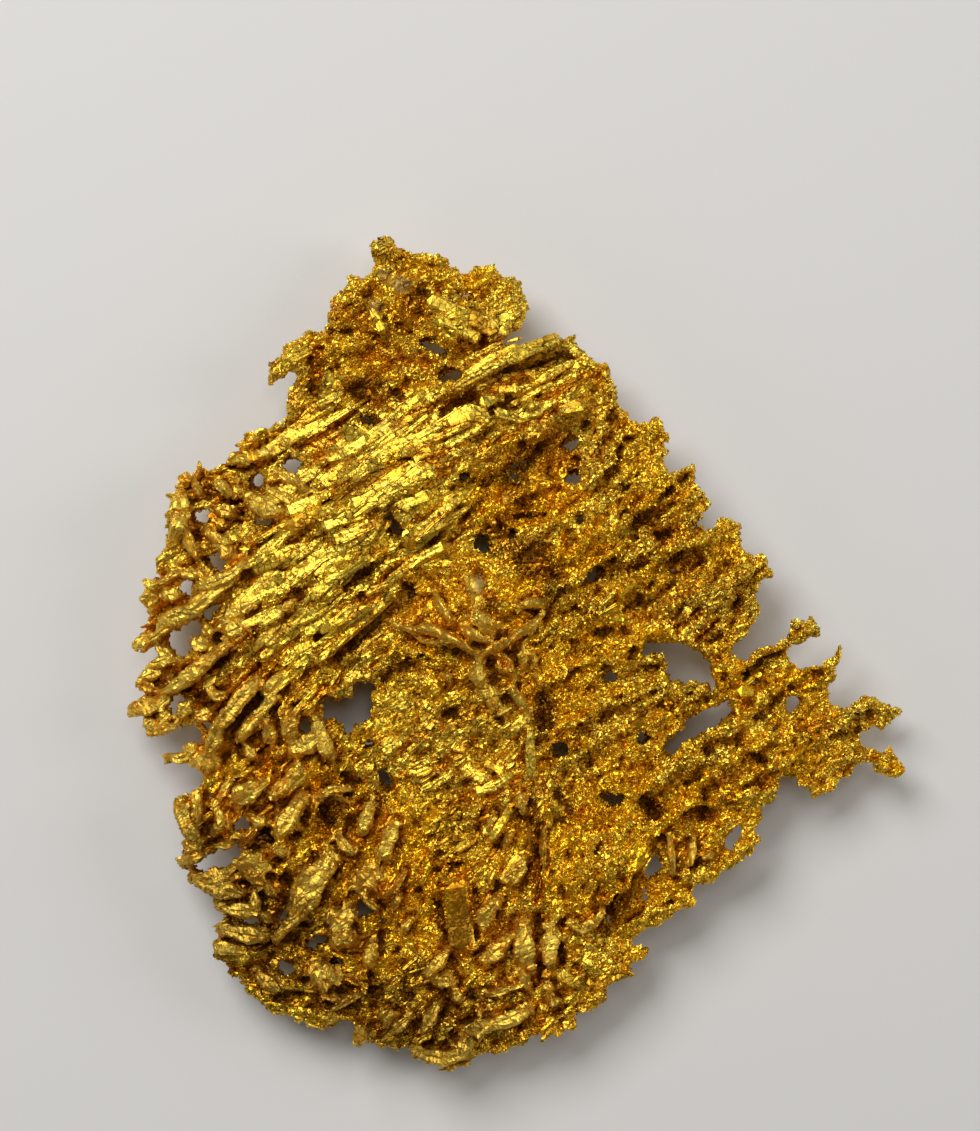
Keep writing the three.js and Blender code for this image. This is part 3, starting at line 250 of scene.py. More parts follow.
# Flat plates of bright gold: width, rise, lean in degrees towards the left of their course, course.
PLATES = with_courses(3, [
    (0.9, 0.15, 8, -4.2, 17.3, -2.6, 16.7, -1.1, 16.0), (0.6, 0.1, 6, -3.7, 16.3, -1.9, 15.5),
    (1.2, 0.0, 4, -3.0, -11.8, -2.65, -14.6), (0.6, 0.2, 9, -2.5, -6.1, -1.6, -6.4),
    (0.5, 0.2, 9, -1.5, -5.6, -0.7, -6.0), (0.5, 0.2, 12, -1.9, -7.0, -1.0, -6.8),
    (0.5, 0.2, 10, -0.9, -6.7, -0.3, -6.2), (0.45, 0.2, 10, -4.9, -6.2, -4.2, -5.9),
    (0.5, 0.25, 10, -1.2, -9.4, -0.3, -7.9), (0.6, 0.2, 10, -0.6, -11.4, 0.2, -10.2),
    (0.5, 0.2, 8, -2.9, -9.9, -1.9, -9.2), (0.5, 0.3, 0, 0.7, -3.8, 0.75, -6.2),
    (0.5, 0.15, -10, -11.2, 14.4, -10.3, 15.0), (0.8, 0.15, 8, -9.3, 13.8, -9.5, 12.0),
    (0.5, 0.15, 10, -7.2, 17.0, -6.6, 15.9), (0.4, 0.15, 8, -6.9, 20.0, -6.2, 20.3),
    (0.7, 0.35, -5, -0.6, 14.3, 0.6, 14.9, 2.0, 15.4), (0.5, 0.4, -6, -3.2, 12.8, -1.6, 13.8, -0.2, 14.5),
    (0.35, 0.5, 15, -2.4, 13.7, -1.2, 14.5, 0.0, 15.1), (0.9, 0.15, 14, -3.3, 11.3, -2.3, 11.8, -1.5, 11.6),
    (0.7, 0.15, 16, -1.6, 12.3, -0.7, 12.6), (0.55, 0.15, 16, -0.8, 12.9, 0.0, 13.0),
    (0.5, 0.15, 14, -0.9, 11.8, 0.0, 11.5), (0.55, 0.15, 12, 0.3, 12.2, 0.8, 12.1),
    (0.7, 0.15, 14, 2.3, 11.9, 3.2, 12.2), (0.4, 0.15, -14, -5.8, 11.2, -4.9, 11.5, -4.2, 11.8),
    (0.2, 0.15, 0, -5.5, 11.5, -4.4, 11.95), (0.2, 0.15, 0, -8.2, 11.45, -7.1, 10.7),
    (0.7, 0.15, -14, -8.4, 10.9, -7.3, 10.5), (0.55, 0.15, 12, -9.3, 9.6, -8.3, 9.6),
    (0.9, 0.15, 10, -7.0, 8.0, -5.4, 8.8), (0.8, 0.15, 10, -5.5, 7.2, -4.4, 7.7),
    (0.7, 0.15, 8, -5.6, 8.2, -4.2, 9.0), (0.6, 0.15, 12, -5.0, 9.5, -4.2, 9.9),
    (0.8, 0.15, 10, -9.4, 6.2, -7.6, 6.9), (0.7, 0.15, 9, -8.9, 5.5, -7.2, 6.2),
    (0.7, 0.15, 10, -8.0, 7.3, -6.9, 7.7), (0.5, 0.3, -10, -9.3, 3.3, -8.2, 4.0, -7.4, 4.6),
    (0.55, 0.5, -14, -5.0, 5.2, -4.1, 5.9, -3.2, 6.7), (0.2, 0.6, 0, -4.9, 5.45, -4.2, 6.15, -3.4, 6.9),
    (0.55, 0.5, 12, -6.2, 3.6, -5.0, 4.4, -3.6, 5.2), (0.5, 0.5, 8, -7.4, 2.9, -6.4, 3.3, -5.6, 3.9),
    (0.3, 0.5, 10, -9.9, -0.5, -8.6, 0.35, -7.1, 1.6, -6.0, 2.7),
    (0.4, 0.35, -8, -9.9, 0.2, -8.4, 1.3, -7.2, 2.2), (0.2, 0.15, 0, -7.9, -0.1, -7.2, 0.5, -6.6, 0.9),
    (0.2, 0.15, 0, -6.3, -0.2, -5.7, 0.4), (0.3, 0.15, 0, -8.6, -0.7, -7.9, -0.2),
    (0.8, 0.15, 10, -13.0, 2.9, -11.6, 3.7), (0.7, 0.15, 8, -11.8, 4.6, -10.4, 5.2),
    (0.7, 0.15, 10, -11.2, 6.9, -9.9, 7.5), (0.7, 0.15, -8, -11.3, 1.0, -10.2, 1.9),
    (0.8, 0.15, 10, -10.6, 4.0, -9.4, 4.9), (0.6, 0.15, 10, -12.6, 1.3, -11.6, 2.0),
    (0.2, 0.15, 0, 4.1, 1.8, 5.0, 2.3), (0.25, 0.15, 0, 4.2, 2.3, 4.9, 2.9),
    (0.2, 0.15, 0, 5.2, 2.7, 6.0, 3.4), (0.2, 0.15, 0, 8.1, 1.4, 8.4, 1.8),
    (0.2, 0.15, 0, 8.4, 1.5, 8.6, 1.9), (0.4, 0.15, 10, -3.95, -11.9, -3.85, -12.4),
    (0.35, 0.15, 14, -2.0, -6.8, -1.7, -7.1), (0.35, 0.15, 12, -1.6, -6.2, -1.4, -6.5),
    (0.3, 0.15, 14, -0.7, -6.2, -0.4, -6.6), (0.3, 0.15, 10, -1.1, -6.7, -0.7, -6.7),
    (0.3, 0.15, 12, -0.6, -7.7, -0.4, -7.4), (0.35, 0.15, 12, -2.3, -6.2, -2.0, -6.3),
    (0.5, 0.15, 12, -1.3, 15.4, -0.5, 15.9), (0.35, 0.15, 10, 1.4, -13.7, 1.9, -13.6),
    (0.35, 0.15, 10, 2.1, -14.2, 2.4, -14.4), (0.4, 0.15, 10, -3.1, -4.9, -2.6, -4.9),
    (0.6, 0.15, 12, 2.2, -16.1, 3.1, -16.6), (0.4, 0.15, 12, 3.4, -15.4, 3.8, -15.6),
    (0.6, 0.15, 10, 11.2, -2.0, 11.8, -2.1), (0.3, 0.15, 0, 11.4, -1.7, 11.9, -1.3),
])

# Crevices between crystals: width, depth, course.
CREVICES = with_courses(2, [
    # top lobe
    (0.25, 0.4, -9.8, 16.0, -9.0, 15.85, -8.3, 15.9), (0.3, 0.35, -9.7, 15.5, -9.2, 15.35),
    (0.3, 0.35, -9.3, 14.0, -8.7, 14.0), (0.45, 0.45, -2.7, 17.8, -2.3, 17.65),
    (0.22, 0.35, -2.8, 17.2, -2.2, 16.9, -1.5, 16.7), (0.35, 0.5, -0.7, 16.7, -1.2, 15.9, -1.6, 15.3),
    (0.3, 0.5, -6.8, 13.2, -6.0, 12.8, -5.4, 12.4), (0.3, 0.35, -8.6, 17.2, -8.0, 17.0),
    (0.35, 0.35, -5.9, 16.4, -5.3, 15.9), (0.6, 0.2, -8.0, 13.0, -7.2, 12.4),
    (0.6, 0.6, -9.95, 14.9, -9.95, 13.9, -9.9, 13.0), (0.4, 0.4, -4.6, 17.6, -5.0, 16.9),
    # band
    (0.26, 0.6, -8.2, 7.9, -7.0, 8.6, -5.7, 9.2, -4.9, 9.8), (0.24, 0.5, -5.0, 9.9, -4.0, 10.3, -2.9, 10.6),
    (0.24, 0.4, -9.9, 7.0, -8.9, 7.5, -8.2, 7.6), (0.35, 0.5, -9.8, 6.7, -9.2, 7.1, -8.6, 7.5),
    (0.22, 0.35, -9.5, 5.9, -8.4, 6.2), (0.35, 0.6, -4.95, 4.95, -4.2, 5.4, -3.55, 5.9),
    (0.35, 0.7, -6.6, 3.6, -5.9, 4.1, -5.2, 4.5), (0.35, 0.7, -8.4, 3.1, -7.7, 3.7, -7.1, 4.1),
    (0.3, 0.6, -6.9, 4.2, -6.1, 4.7), (0.26, 0.5, -9.9, 0.6, -9.0, 1.0, -8.4, 1.6),
    (0.35, 0.6, -7.7, 2.7, -6.8, 3.3), (0.4, 0.6, -8.2, 0.2, -7.0, 1.3, -6.1, 2.2, -5.2, 3.1),
    (0.5, 0.6, -1.4, 8.1, -0.6, 8.5, 0.4, 8.9), (0.3, 0.4, -3.2, 8.0, -1.9, 8.3),
    (0.4, 0.6, -3.6, 11.9, -3.1, 12.3, -2.2, 12.7), (0.4, 0.55, -2.0, 12.4, -1.5, 11.9, -1.1, 11.9),
    (0.5, 0.5, -0.6, 12.3, 0.2, 12.3), (0.35, 0.6, 1.9, 11.0, 2.4, 11.4), (0.3, 0.4, -12.6, 3.4, -11.2, 4.3),
    (0.28, 0.4, -13.2, 4.9, -11.7, 5.7), (0.28, 0.4, -11.0, 3.0, -9.7, 4.0),
    (0.28, 0.4, -10.4, 5.2, -8.9, 5.8), (0.3, 0.4, -12.3, -0.2, -11.0, 0.8, -9.9, 1.5),
    (0.28, 0.4, -10.5, 7.5, -9.3, 8.1, -8.4, 8.4), (0.3, 0.4, -9.8, 9.1, -8.3, 9.3, -7.2, 9.7),
    (0.3, 0.5, 1.5, 14.6, 2.3, 14.8, 2.8, 14.5), (0.25, 0.4, -1.4, 13.3, -0.2, 14.0, 1.4, 14.3),
    # left shoulder and fringe
    (0.24, 0.4, -14.9, 7.6, -14.3, 7.35, -13.7, 7.4, -13.6, 6.8),
    (0.24, 0.4, -15.1, 5.6, -14.6, 5.9, -14.2, 6.1), (0.3, 0.35, -13.9, 6.3, -12.9, 6.5),
    (0.2, 0.3, -14.2, 9.1, -13.6, 9.0, -13.1, 9.2, -13.1, 9.7),
    (0.24, 0.6, -15.6, -3.9, -14.9, -3.2, -14.4, -2.6, -13.9, -2.0, -13.3, -1.3, -12.8, -0.8),
    (0.24, 0.5, -14.9, -0.8, -14.2, -0.2, -13.5, 0.5, -12.9, 1.2),
    (0.3, 0.6, -13.9, -3.6, -13.3, -3.0, -12.8, -2.3), (0.35, 0.6, -12.2, -3.1, -11.6, -2.2),
    (0.25, 0.4, -15.4, -1.0, -14.6, -0.5), (0.22, 0.35, -15.0, 1.2, -14.2, 1.9),
    (0.22, 0.3, -12.7, 2.9, -12.7, 2.3), (0.25, 0.4, -13.9, -4.7, -13.6, -5.4),
    (0.25, 0.4, -12.7, -5.2, -12.2, -4.5), (0.22, 0.3, -16.6, -2.2, -16.0, -1.5),
    (0.4, 0.4, -16.0, -2.1, -15.6, -2.5, -15.1, -2.6),
    # lower left
    (0.4, 0.8, -11.4, -11.0, -11.3, -12.0, -11.6, -13.3, -12.2, -14.0),
    (0.3, 0.5, -14.0, -6.9, -13.5, -6.5, -13.2, -6.3), (0.35, 0.5, -13.9, -9.3, -12.9, -9.7, -12.3, -9.7),
    (0.3, 0.5, -12.0, -11.3, -13.6, -11.6), (0.3, 0.5, -12.7, -12.4, -12.4, -12.9),
    (0.35, 0.5, -14.6, -7.4, -14.1, -7.5), (0.25, 0.4, -15.2, -9.6, -14.8, -9.3),
    (0.35, 0.6, -11.75, -10.2, -11.7, -10.9), (0.24, 0.4, -12.0, -6.0, -11.2, -6.6),
    (0.3, 0.4, -10.2, -10.1, -9.2, -11.4), (0.35, 0.5, -9.6, -8.0, -9.1, -8.8, -8.9, -9.6),
    (0.5, 0.5, -8.6, -6.3, -7.9, -6.6), (0.3, 0.4, -8.2, -7.8, -7.4, -7.4),
    (0.4, 0.5, -6.9, -13.0, -6.6, -13.8, -6.8, -14.6), (0.4, 0.5, -5.9, -14.2, -6.0, -15.0),
    (0.35, 0.4, -4.9, -12.0, -4.5, -12.6), (0.35, 0.5, -6.6, -18.5, -6.3, -19.1, -5.5, -18.7),
    (0.4, 0.5, -7.3, -16.2, -6.9, -17.2, -7.2, -17.8), (0.4, 0.4, -5.4, -17.2, -5.6, -16.6),
    (0.3, 0.4, -8.8, -16.9, -8.0, -16.7), (0.35, 0.5, -3.3, -19.1, -2.9, -19.4),
    (0.4, 0.4, -2.6, -18.6, -1.9, -17.8), (0.3, 0.4, -4.2, -18.6, -3.9, -17.6),
    (0.24, 0.4, -2.1, -17.3, -0.6, -16.95), (0.4, 0.5, -12.3, -15.5, -12.6, -16.2),
    (0.35, 0.4, -12.0, -17.3, -10.9, -17.4, -9.8, -17.9), (0.35, 0.4, -14.6, -15.2, -13.9, -15.6),
    (0.3, 0.4, -14.0, -16.5, -13.0, -16.2),
    # basin and spine
    (0.2, 0.4, -4.0, -11.0, -2.9, -10.1, -2.1, -9.6, -1.9, -9.1, -1.5, -7.7),
    (0.3, 0.5, -3.3, -10.8, -2.7, -10.6), (0.3, 0.45, -1.7, -8.0, -1.5, -8.1),
    (0.28, 0.45, -0.9, -9.7, -0.75, -9.3), (0.35, 0.4, -3.8, -10.1, -3.3, -10.1),
    (0.3, 0.6, 0.95, -9.0, 1.0, -10.0), (0.28, 0.5, 1.05, -10.2, 1.05, -12.5),
    (0.3, 0.4, 1.15, -13.2, 1.2, -14.6, 1.25, -16.4), (0.22, 0.4, 0.05, -15.1, 0.5, -15.7, 0.95, -16.6),
    (0.3, 0.4, 2.3, -15.2, 2.4, -14.6), (0.35, 0.5, 2.1, -11.6, 2.4, -12.1),
    (0.3, 0.4, 2.4, -10.1, 2.6, -10.3), (0.3, 0.4, -0.8, -11.6, -1.2, -12.1),
    (0.35, 0.45, -3.9, -12.3, -3.7, -13.2, -3.5, -14.2), (0.3, 0.4, -2.0, -12.0, -1.9, -13.2, -2.1, -14.3),
    (0.25, 0.4, -1.0, -3.2, -0.7, -3.6), (0.35, 0.4, -3.6, -3.3, -3.0, -3.1),
    (0.5, 0.45, -7.0, -1.7, -6.2, -1.2, -5.3, -0.8), (0.45, 0.4, -9.0, -0.7, -8.7, -0.2),
    (0.3, 0.4, -3.4, -1.7, -3.6, -2.1),
    (0.5, 0.5, 7.25, -9.5, 6.9, -10.4, 6.4, -11.3, 5.6, -12.3, 4.9, -13.0, 4.4, -13.8),
    # right half
    (0.6, 0.35, 0.0, 9.3, 0.6, 9.5, 1.2, 9.9), (0.5, 0.7, 6.1, 6.1, 6.7, 6.7, 7.2, 7.2, 7.6, 7.6),
    (0.45, 0.6, 5.4, 8.2, 6.0, 8.2), (0.35, 0.5, 5.3, 6.7, 5.5, 7.0), (0.35, 0.5, 4.5, 8.6, 4.9, 9.0),
    (0.5, 0.5, 7.2, 5.7, 7.8, 6.0), (0.6, 0.6, 8.0, 4.2, 8.8, 4.6), (0.5, 0.7, 8.9, 6.2, 9.8, 6.8),
    (0.4, 0.5, 9.1, 5.6, 9.6, 5.9), (0.3, 0.4, 5.9, 4.1, 6.2, 4.6), (0.4, 0.5, 4.5, 4.2, 4.9, 4.5),
    (0.22, 0.4, 0.0, 6.7, 1.5, 6.75), (0.4, 0.5, 5.6, 5.7, 6.0, 5.6), (0.4, 0.5, 3.5, 11.1, 3.9, 10.8),
    (0.35, 0.5, 5.2, 9.4, 5.4, 10.0), (0.3, 0.4, 2.2, 7.1, 3.0, 7.5), (0.35, 0.5, 3.1, -3.8, 3.7, -4.1),
    (0.35, 0.5, 4.6, -5.6, 5.3, -5.4), (0.3, 0.5, 4.2, -3.3, 4.4, -3.5), (0.4, 0.5, 4.5, -1.2, 4.9, -1.5),
    (0.35, 0.4, 2.5, -1.9, 2.9, -1.9), (0.4, 0.5, 3.0, 2.1, 3.6, 1.8), (0.45, 0.5, 4.3, 0.9, 5.5, 1.1),
    (0.4, 0.45, 6.1, 0.3, 6.1, -0.3), (0.2, 0.35, 9.0, 0.5, 10.0, 1.5), (0.2, 0.35, 8.0, 1.2, 8.6, 1.8),
    (0.4, 0.5, 8.6, 2.75, 9.0, 2.8), (0.5, 0.6, 1.3, -2.4, 1.5, -3.4), (0.35, 0.4, 6.8, -2.2, 7.6, -1.9),
    (0.3, 0.4, 5.0, -2.1, 5.5, -2.1), (0.3, 0.35, 8.8, -1.9, 8.6, -2.3), (0.7, 0.6, 6.5, -7.4, 6.9, -7.9),
    (0.5, 0.5, 8.4, -8.2, 9.8, -8.3), (0.35, 0.5, 8.5, -6.6, 9.0, -6.3), (0.35, 0.5, 9.4, -7.1, 9.6, -7.3),
    (0.3, 0.4, 4.0, -9.9, 4.2, -9.6), (0.35, 0.4, 2.2, -7.2, 2.7, -8.0), (0.45, 0.6, 11.5, -3.1, 11.8, -3.4),
    (0.35, 0.5, 11.6, -4.6, 12.1, -4.5), (0.25, 0.4, 13.9, -4.5, 13.9, -4.9),
    (0.22, 0.35, 14.0, -3.9, 14.8, -3.85), (0.3, 0.45, 13.0, -5.3, 13.6, -5.0),
    (0.4, 0.5, 11.6, -1.3, 11.9, -1.6), (0.4, 0.5, 12.2, -0.6, 12.9, -0.4),
    (0.4, 0.5, 17.0, -3.5, 17.1, -4.0), (0.3, 0.4, 10.9, -5.1, 12.3, -5.4), (0.3, 0.4, 8.7, -5.5, 9.2, -5.3),
    (0.3, 0.4, 9.5, -4.9, 10.0, -4.7), (0.35, 0.4, 7.2, -12.5, 7.9, -12.4),
    (0.5, 0.5, 5.4, -13.0, 6.0, -12.4), (0.35, 0.4, 11.0, 2.1, 11.3, 2.2),
])

# Rust-orange spots on the gold: width, strength, course.
STAINS = with_courses(2, [
    (1.5, 1.1, -2.85, -11.7, -2.75, -14.7), (0.8, 0.6, 0.7, -6.6, 1.0, -9.0),
    (0.3, 0.9, -2.6, -11.3, -1.0, -9.8, -0.2, -8.3), (1.2, 0.7, -9.2, 17.0, -7.5, 16.6),
    (0.8, 0.9, -9.9, 14.9, -9.9, 13.2), (0.9, 0.7, -8.0, 13.2, -6.5, 12.3),
    (0.8, 0.9, -1.9, 16.3, -1.1, 15.6), (0.9, 0.6, -5.6, 16.6, -5.0, 17.2),
    (1.0, 0.6, -7.5, 14.7, -4.5, 14.2), (0.6, 0.7, -2.8, 15.0, -1.6, 15.0),
    (0.45, 1.0, -8.2, 7.9, -5.7, 9.2, -4.8, 9.9), (0.4, 0.9, -9.4, 9.0, -8.3, 9.4),
    (0.35, 0.8, -9.0, 8.1, -7.8, 8.3), (0.5, 0.9, -5.2, 10.1, -4.6, 9.8), (0.6, 0.8, -3.1, 11.0, -1.8, 11.3),
    (0.6, 0.7, -2.2, 9.9, -1.4, 10.0), (0.5, 0.8, -16.6, 8.5, -16.1, 8.4), (0.7, 0.7, -15.6, 8.7, -15.2, 8.3),
    (0.5, 0.8, -13.9, 4.6, -13.3, 4.5), (0.5, 0.7, -15.8, 5.9, -15.2, 5.7),
    (0.4, 0.9, -14.9, 7.6, -13.8, 7.4, -13.6, 6.8), (0.5, 1.0, -15.7, -4.0, -14.4, -2.6, -12.8, -0.8),
    (0.45, 1.0, -14.9, -0.8, -12.9, 1.2), (0.7, 0.9, -16.0, -1.6, -15.6, -2.5),
    (0.5, 0.9, -15.5, -4.6, -15.7, -4.0), (0.5, 0.9, -17.6, 2.2, -16.3, 2.6),
    (0.4, 0.8, -19.0, 0.6, -18.4, 0.9), (0.4, 0.9, -12.9, -5.4, -12.2, -4.4),
    (0.8, 1.0, -14.7, -7.2, -14.1, -7.6), (0.7, 0.9, -13.4, -9.5, -12.4, -9.4),
    (0.8, 0.9, -13.6, -11.5, -12.6, -11.3), (0.8, 1.0, -11.7, -11.7, -11.9, -13.2),
    (0.9, 0.8, -11.8, -6.7, -11.3, -7.2), (0.5, 0.8, -14.2, -8.4, -13.9, -8.0),
    (1.0, 0.7, -9.6, -8.0, -9.3, -9.0), (1.2, 0.6, -7.6, -11.4, -6.4, -12.0, -5.5, -11.0),
    (0.6, 0.9, -8.6, -16.8, -7.7, -16.3), (0.4, 0.9, -4.0, -11.0, -2.1, -9.6, -1.5, -7.7),
    (0.6, 0.9, 1.0, -9.0, 1.05, -12.5), (0.5, 1.0, 1.15, -13.2, 1.25, -16.4),
    (0.35, 1.0, 0.05, -15.1, 0.95, -16.6), (1.0, 0.8, 6.6, -7.6, 7.0, -8.1), (0.5, 0.8, 8.4, -8.2, 9.8, -8.3),
    (0.7, 0.8, 15.0, -3.7, 15.5, -3.6), (0.35, 0.9, 14.0, -3.9, 14.8, -3.8), (0.4, 0.9, 9.0, 0.5, 10.0, 1.5),
    (0.5, 0.9, 8.0, 1.2, 8.7, 1.9), (1.6, 0.8, 0.2, 9.6, 1.6, 10.4, 2.2, 9.6), (1.6, 0.7, 0.4, 4.9, 1.2, 4.3),
    (1.2, 0.7, 1.5, 8.9, 1.8, 7.6), (1.2, 0.7, 1.2, -2.2, 1.6, -3.3), (1.0, 0.7, 8.0, 4.2, 8.9, 4.5),
    (0.9, 0.7, 7.1, 5.7, 7.9, 6.0), (1.3, 0.6, 3.2, -8.0, 4.2, -8.3), (1.2, 0.6, 5.2, -12.6, 6.2, -11.6),
    (0.9, 0.7, -0.3, 0.5, -0.9, -0.6), (0.6, 0.9, -0.8, -0.6, -0.4, -0.6), (0.8, 0.8, -2.0, 0.2, -1.2, 0.3),
    (0.8, 0.7, -4.8, 0.8, -4.0, 0.9), (0.9, 0.7, -1.2, 2.4, -1.6, 2.8), (0.8, 0.7, -3.6, 1.2, -2.4, 1.4),
    (1.1, 0.7, -0.9, 6.0, -0.4, 5.2), (1.4, 0.8, -3.3, -12.0, -2.6, -13.6),
])

# Sponge-like patches full of small pits: x, y, length, width, degrees.
SPONGES = [
    (-5.9, 9.7, 2.0, 1.0, 33), (-8.2, 7.9, 1.9, 1.0, 33), (-8.3, 10.4, 2.4, 0.9, 10),
    (-9.5, 6.9, 1.0, 0.7, 33), (-4.2, 9.4, 1.3, 0.6, 33), (-4.2, 11.0, 1.6, 0.9, 33),
    (-9.0, 4.6, 1.8, 0.6, 35), (-12.3, 5.4, 2.5, 1.2, 20), (-7.8, 2.3, 1.8, 0.6, 35),
    (-4.3, -0.5, 1.7, 1.0, 0), (-12.6, -5.6, 2.4, 0.8, 10), (-11.6, 1.4, 2.0, 1.0, 35),
    (-3.0, -8.4, 3.0, 2.2, 20), (-5.0, 4.0, 1.0, 0.5, 35), (0.3, 13.2, 1.6, 1.0, 30),
    (-3.6, -10.4, 1.6, 0.8, 30), (-13.9, -0.9, 1.2, 0.7, 35), (1.1, 12.6, 1.0, 0.7, 30),
    (-10.9, 5.9, 1.6, 0.8, 30),
]

# Smooth windows that the fine grain leaves bare: x, y, length, width, degrees.
WINDOWS = [
    (7.7, 4.1, 1.4, 0.9, 20), (0.9, 4.6, 1.6, 1.0, -20), (-0.9, 5.6, 1.2, 0.9, 0), (6.2, -10.2, 1.3, 0.9, 50),
    (-6.6, -11.6, 1.6, 0.8, 60), (-2.9, -12.8, 2.6, 1.3, -80), (-3.1, 7.35, 1.8, 0.7, 0),
    (1.2, 8.4, 1.4, 0.9, -60), (2.4, -7.6, 1.4, 1.0, 70), (-5.7, -2.6, 1.3, 1.1, 0),
    (-7.5, 17.3, 0.6, 0.5, 90), (-12.5, 7.2, 2.0, 0.8, -25), (0.8, 12.1, 0.8, 0.6, 0),
    (4.9, 1.5, 2.0, 1.6, 0), (-17.3, 4.4, 1.2, 1.0, 0),
]

# Paler strips: width, strength, then the course.
PALE_STRIPS = with_courses(2, [
    (1.0, 0.8, -0.2, 5.2, 1.5, 5.7), (0.9, 0.9, 3.8, 2.4, 5.4, 4.0, 7.6, 6.2),
    (1.5, 0.8, 3.9, 8.8, 4.4, 12.2), (1.0, 0.9, 8.8, 6.8, 10.0, 7.9), (1.4, 0.8, 7.4, 1.9, 11.4, 3.2),
    (1.1, 0.9, 11.5, 4.3, 12.7, 4.6), (1.4, 1.0, 13.8, 0.9, 15.0, 1.4), (1.0, 0.9, 6.0, -1.2, 7.4, -0.4),
    (0.8, 0.9, 7.0, -1.9, 9.6, -2.1), (1.0, 0.8, 3.4, -3.8, 6.4, -2.6),
    (0.9, 0.8, 7.8, -6.2, 10.0, -4.9, 12.2, -3.4), (0.9, 0.7, -0.2, -4.4, 1.6, -3.6),
    (1.0, 0.8, 15.6, -4.8, 17.4, -3.0, 19.0, -3.0), (0.9, 0.8, 9.5, 1.0, 11.6, 2.2),
    (1.2, 0.7, 0.0, -7.4, 3.0, -5.6), (1.0, 0.9, -6.9, 20.4, -6.3, 19.6), (1.3, 0.8, -3.6, 17.4, -0.4, 15.6),
    (0.9, 0.8, -3.0, 16.0, -1.6, 15.2), (1.0, 0.7, -9.2, 12.4, -8.6, 10.6), (1.1, 0.6, 1.8, 0.8, 4.2, 2.2),
    (0.8, 0.7, 3.0, 6.2, 5.4, 8.4),
])

# Brown, shaded hollows: x, y, length, width, degrees, strength.
SHADES = [
    (-3.2, -9.0, 2.6, 1.4, 12, 0.45), (2.4, -7.2, 1.0, 1.0, 0, 0.5), (-7.0, -7.2, 0.8, 1.6, 0, 0.4),
    (0.9, -8.0, 0.5, 1.8, 0, 0.5), (-0.9, 5.4, 2.0, 1.5, 0, 0.8), (1.0, 4.3, 2.4, 1.6, -10, 0.7),
    (-1.2, 2.3, 0.9, 0.7, 0, 0.7), (2.0, 2.6, 1.8, 1.4, 0, 0.5), (-7.4, 13.1, 2.2, 1.0, 15, 0.6),
    (-9.9, 13.7, 1.8, 1.0, 90, 0.5), (2.4, 14.6, 1.0, 0.6, 20, 0.8), (0.4, 9.4, 3.0, 0.9, 40, 0.8),
    (0.1, 8.5, 1.0, 0.6, 0, 0.6), (-12.9, 8.2, 0.9, 0.6, 0, 0.7), (-3.3, 0.1, 1.6, 0.6, -10, 0.7),
    (8.0, 4.3, 2.2, 1.2, 20, 0.36), (10.5, 4.2, 0.8, 0.6, 0, 0.3), (6.2, 6.6, 1.6, 0.6, 40, 0.42),
    (8.9, 6.2, 1.4, 0.5, 35, 0.36), (5.0, 1.5, 1.2, 0.9, 0, 0.24), (3.2, 0.0, 1.6, 0.7, 0, 0.36),
    (4.5, -1.3, 0.9, 0.7, 0, 0.36), (1.5, -3.0, 1.0, 1.6, 0, 0.8), (12.4, -0.6, 1.6, 0.8, 30, 0.36),
    (6.7, -7.8, 1.6, 1.0, -40, 0.36), (-9.2, -8.2, 1.4, 1.6, 0, 0.7), (-11.6, -12.6, 1.0, 3.2, 0, 0.7),
    (-5.9, -17.0, 2.4, 2.2, 0, 0.7), (-12.6, -16.5, 3.2, 1.2, 0, 0.7), (-4.8, -16.2, 1.0, 2.2, 0, 0.6),
    (-6.8, -14.2, 0.8, 1.6, 0, 0.7), (-3.2, -13.0, 1.8, 2.8, 0, 0.4), (1.1, -9.2, 1.2, 1.8, 0, 0.5),
    (-13.8, -12.9, 1.6, 1.0, 0, 0.6), (-13.0, -9.6, 2.0, 0.8, 0, 0.6), (-9.4, -15.6, 1.4, 1.0, 0, 0.6),
    (-14.5, -15.5, 3.0, 2.0, -40, 0.4), (-16.0, -9.0, 2.0, 2.6, 0, 0.3), (-9.0, -17.6, 4.0, 1.4, -15, 0.5),
    (-8.0, -5.8, 2.6, 1.6, 0, 0.4), (-5.8, 16.2, 1.6, 1.2, 0, 0.4), (-4.9, 17.4, 0.9, 1.0, 0, 0.5),
    (-7.7, 17.2, 1.4, 0.9, 0, 0.4), (-6.2, -0.9, 2.6, 0.9, 30, 0.5), (-3.5, -3.2, 1.4, 0.7, 10, 0.5),
    (5.4, -12.4, 2.6, 1.0, 45, 0.3), (2.3, -7.9, 1.4, 1.2, 0, 0.4), (4.8, 3.9, 1.2, 0.9, 30, 0.3),
    (-2.1, 8.3, 1.8, 0.6, 15, 0.4), (2.6, 11.3, 1.2, 0.7, 45, 0.3), (4.9, 9.6, 1.0, 0.8, 60, 0.24),
    (-0.5, -2.2, 0.7, 1.4, 30, 0.6), (-13.0, -15.0, 8.0, 7.0, 0, 0.6), (-6.0, -18.2, 9.0, 4.0, -10, 0.6),
    (-16.0, -11.5, 5.0, 6.0, 0, 0.6), (-9.0, -12.0, 7.0, 6.0, 0, 0.25),
]

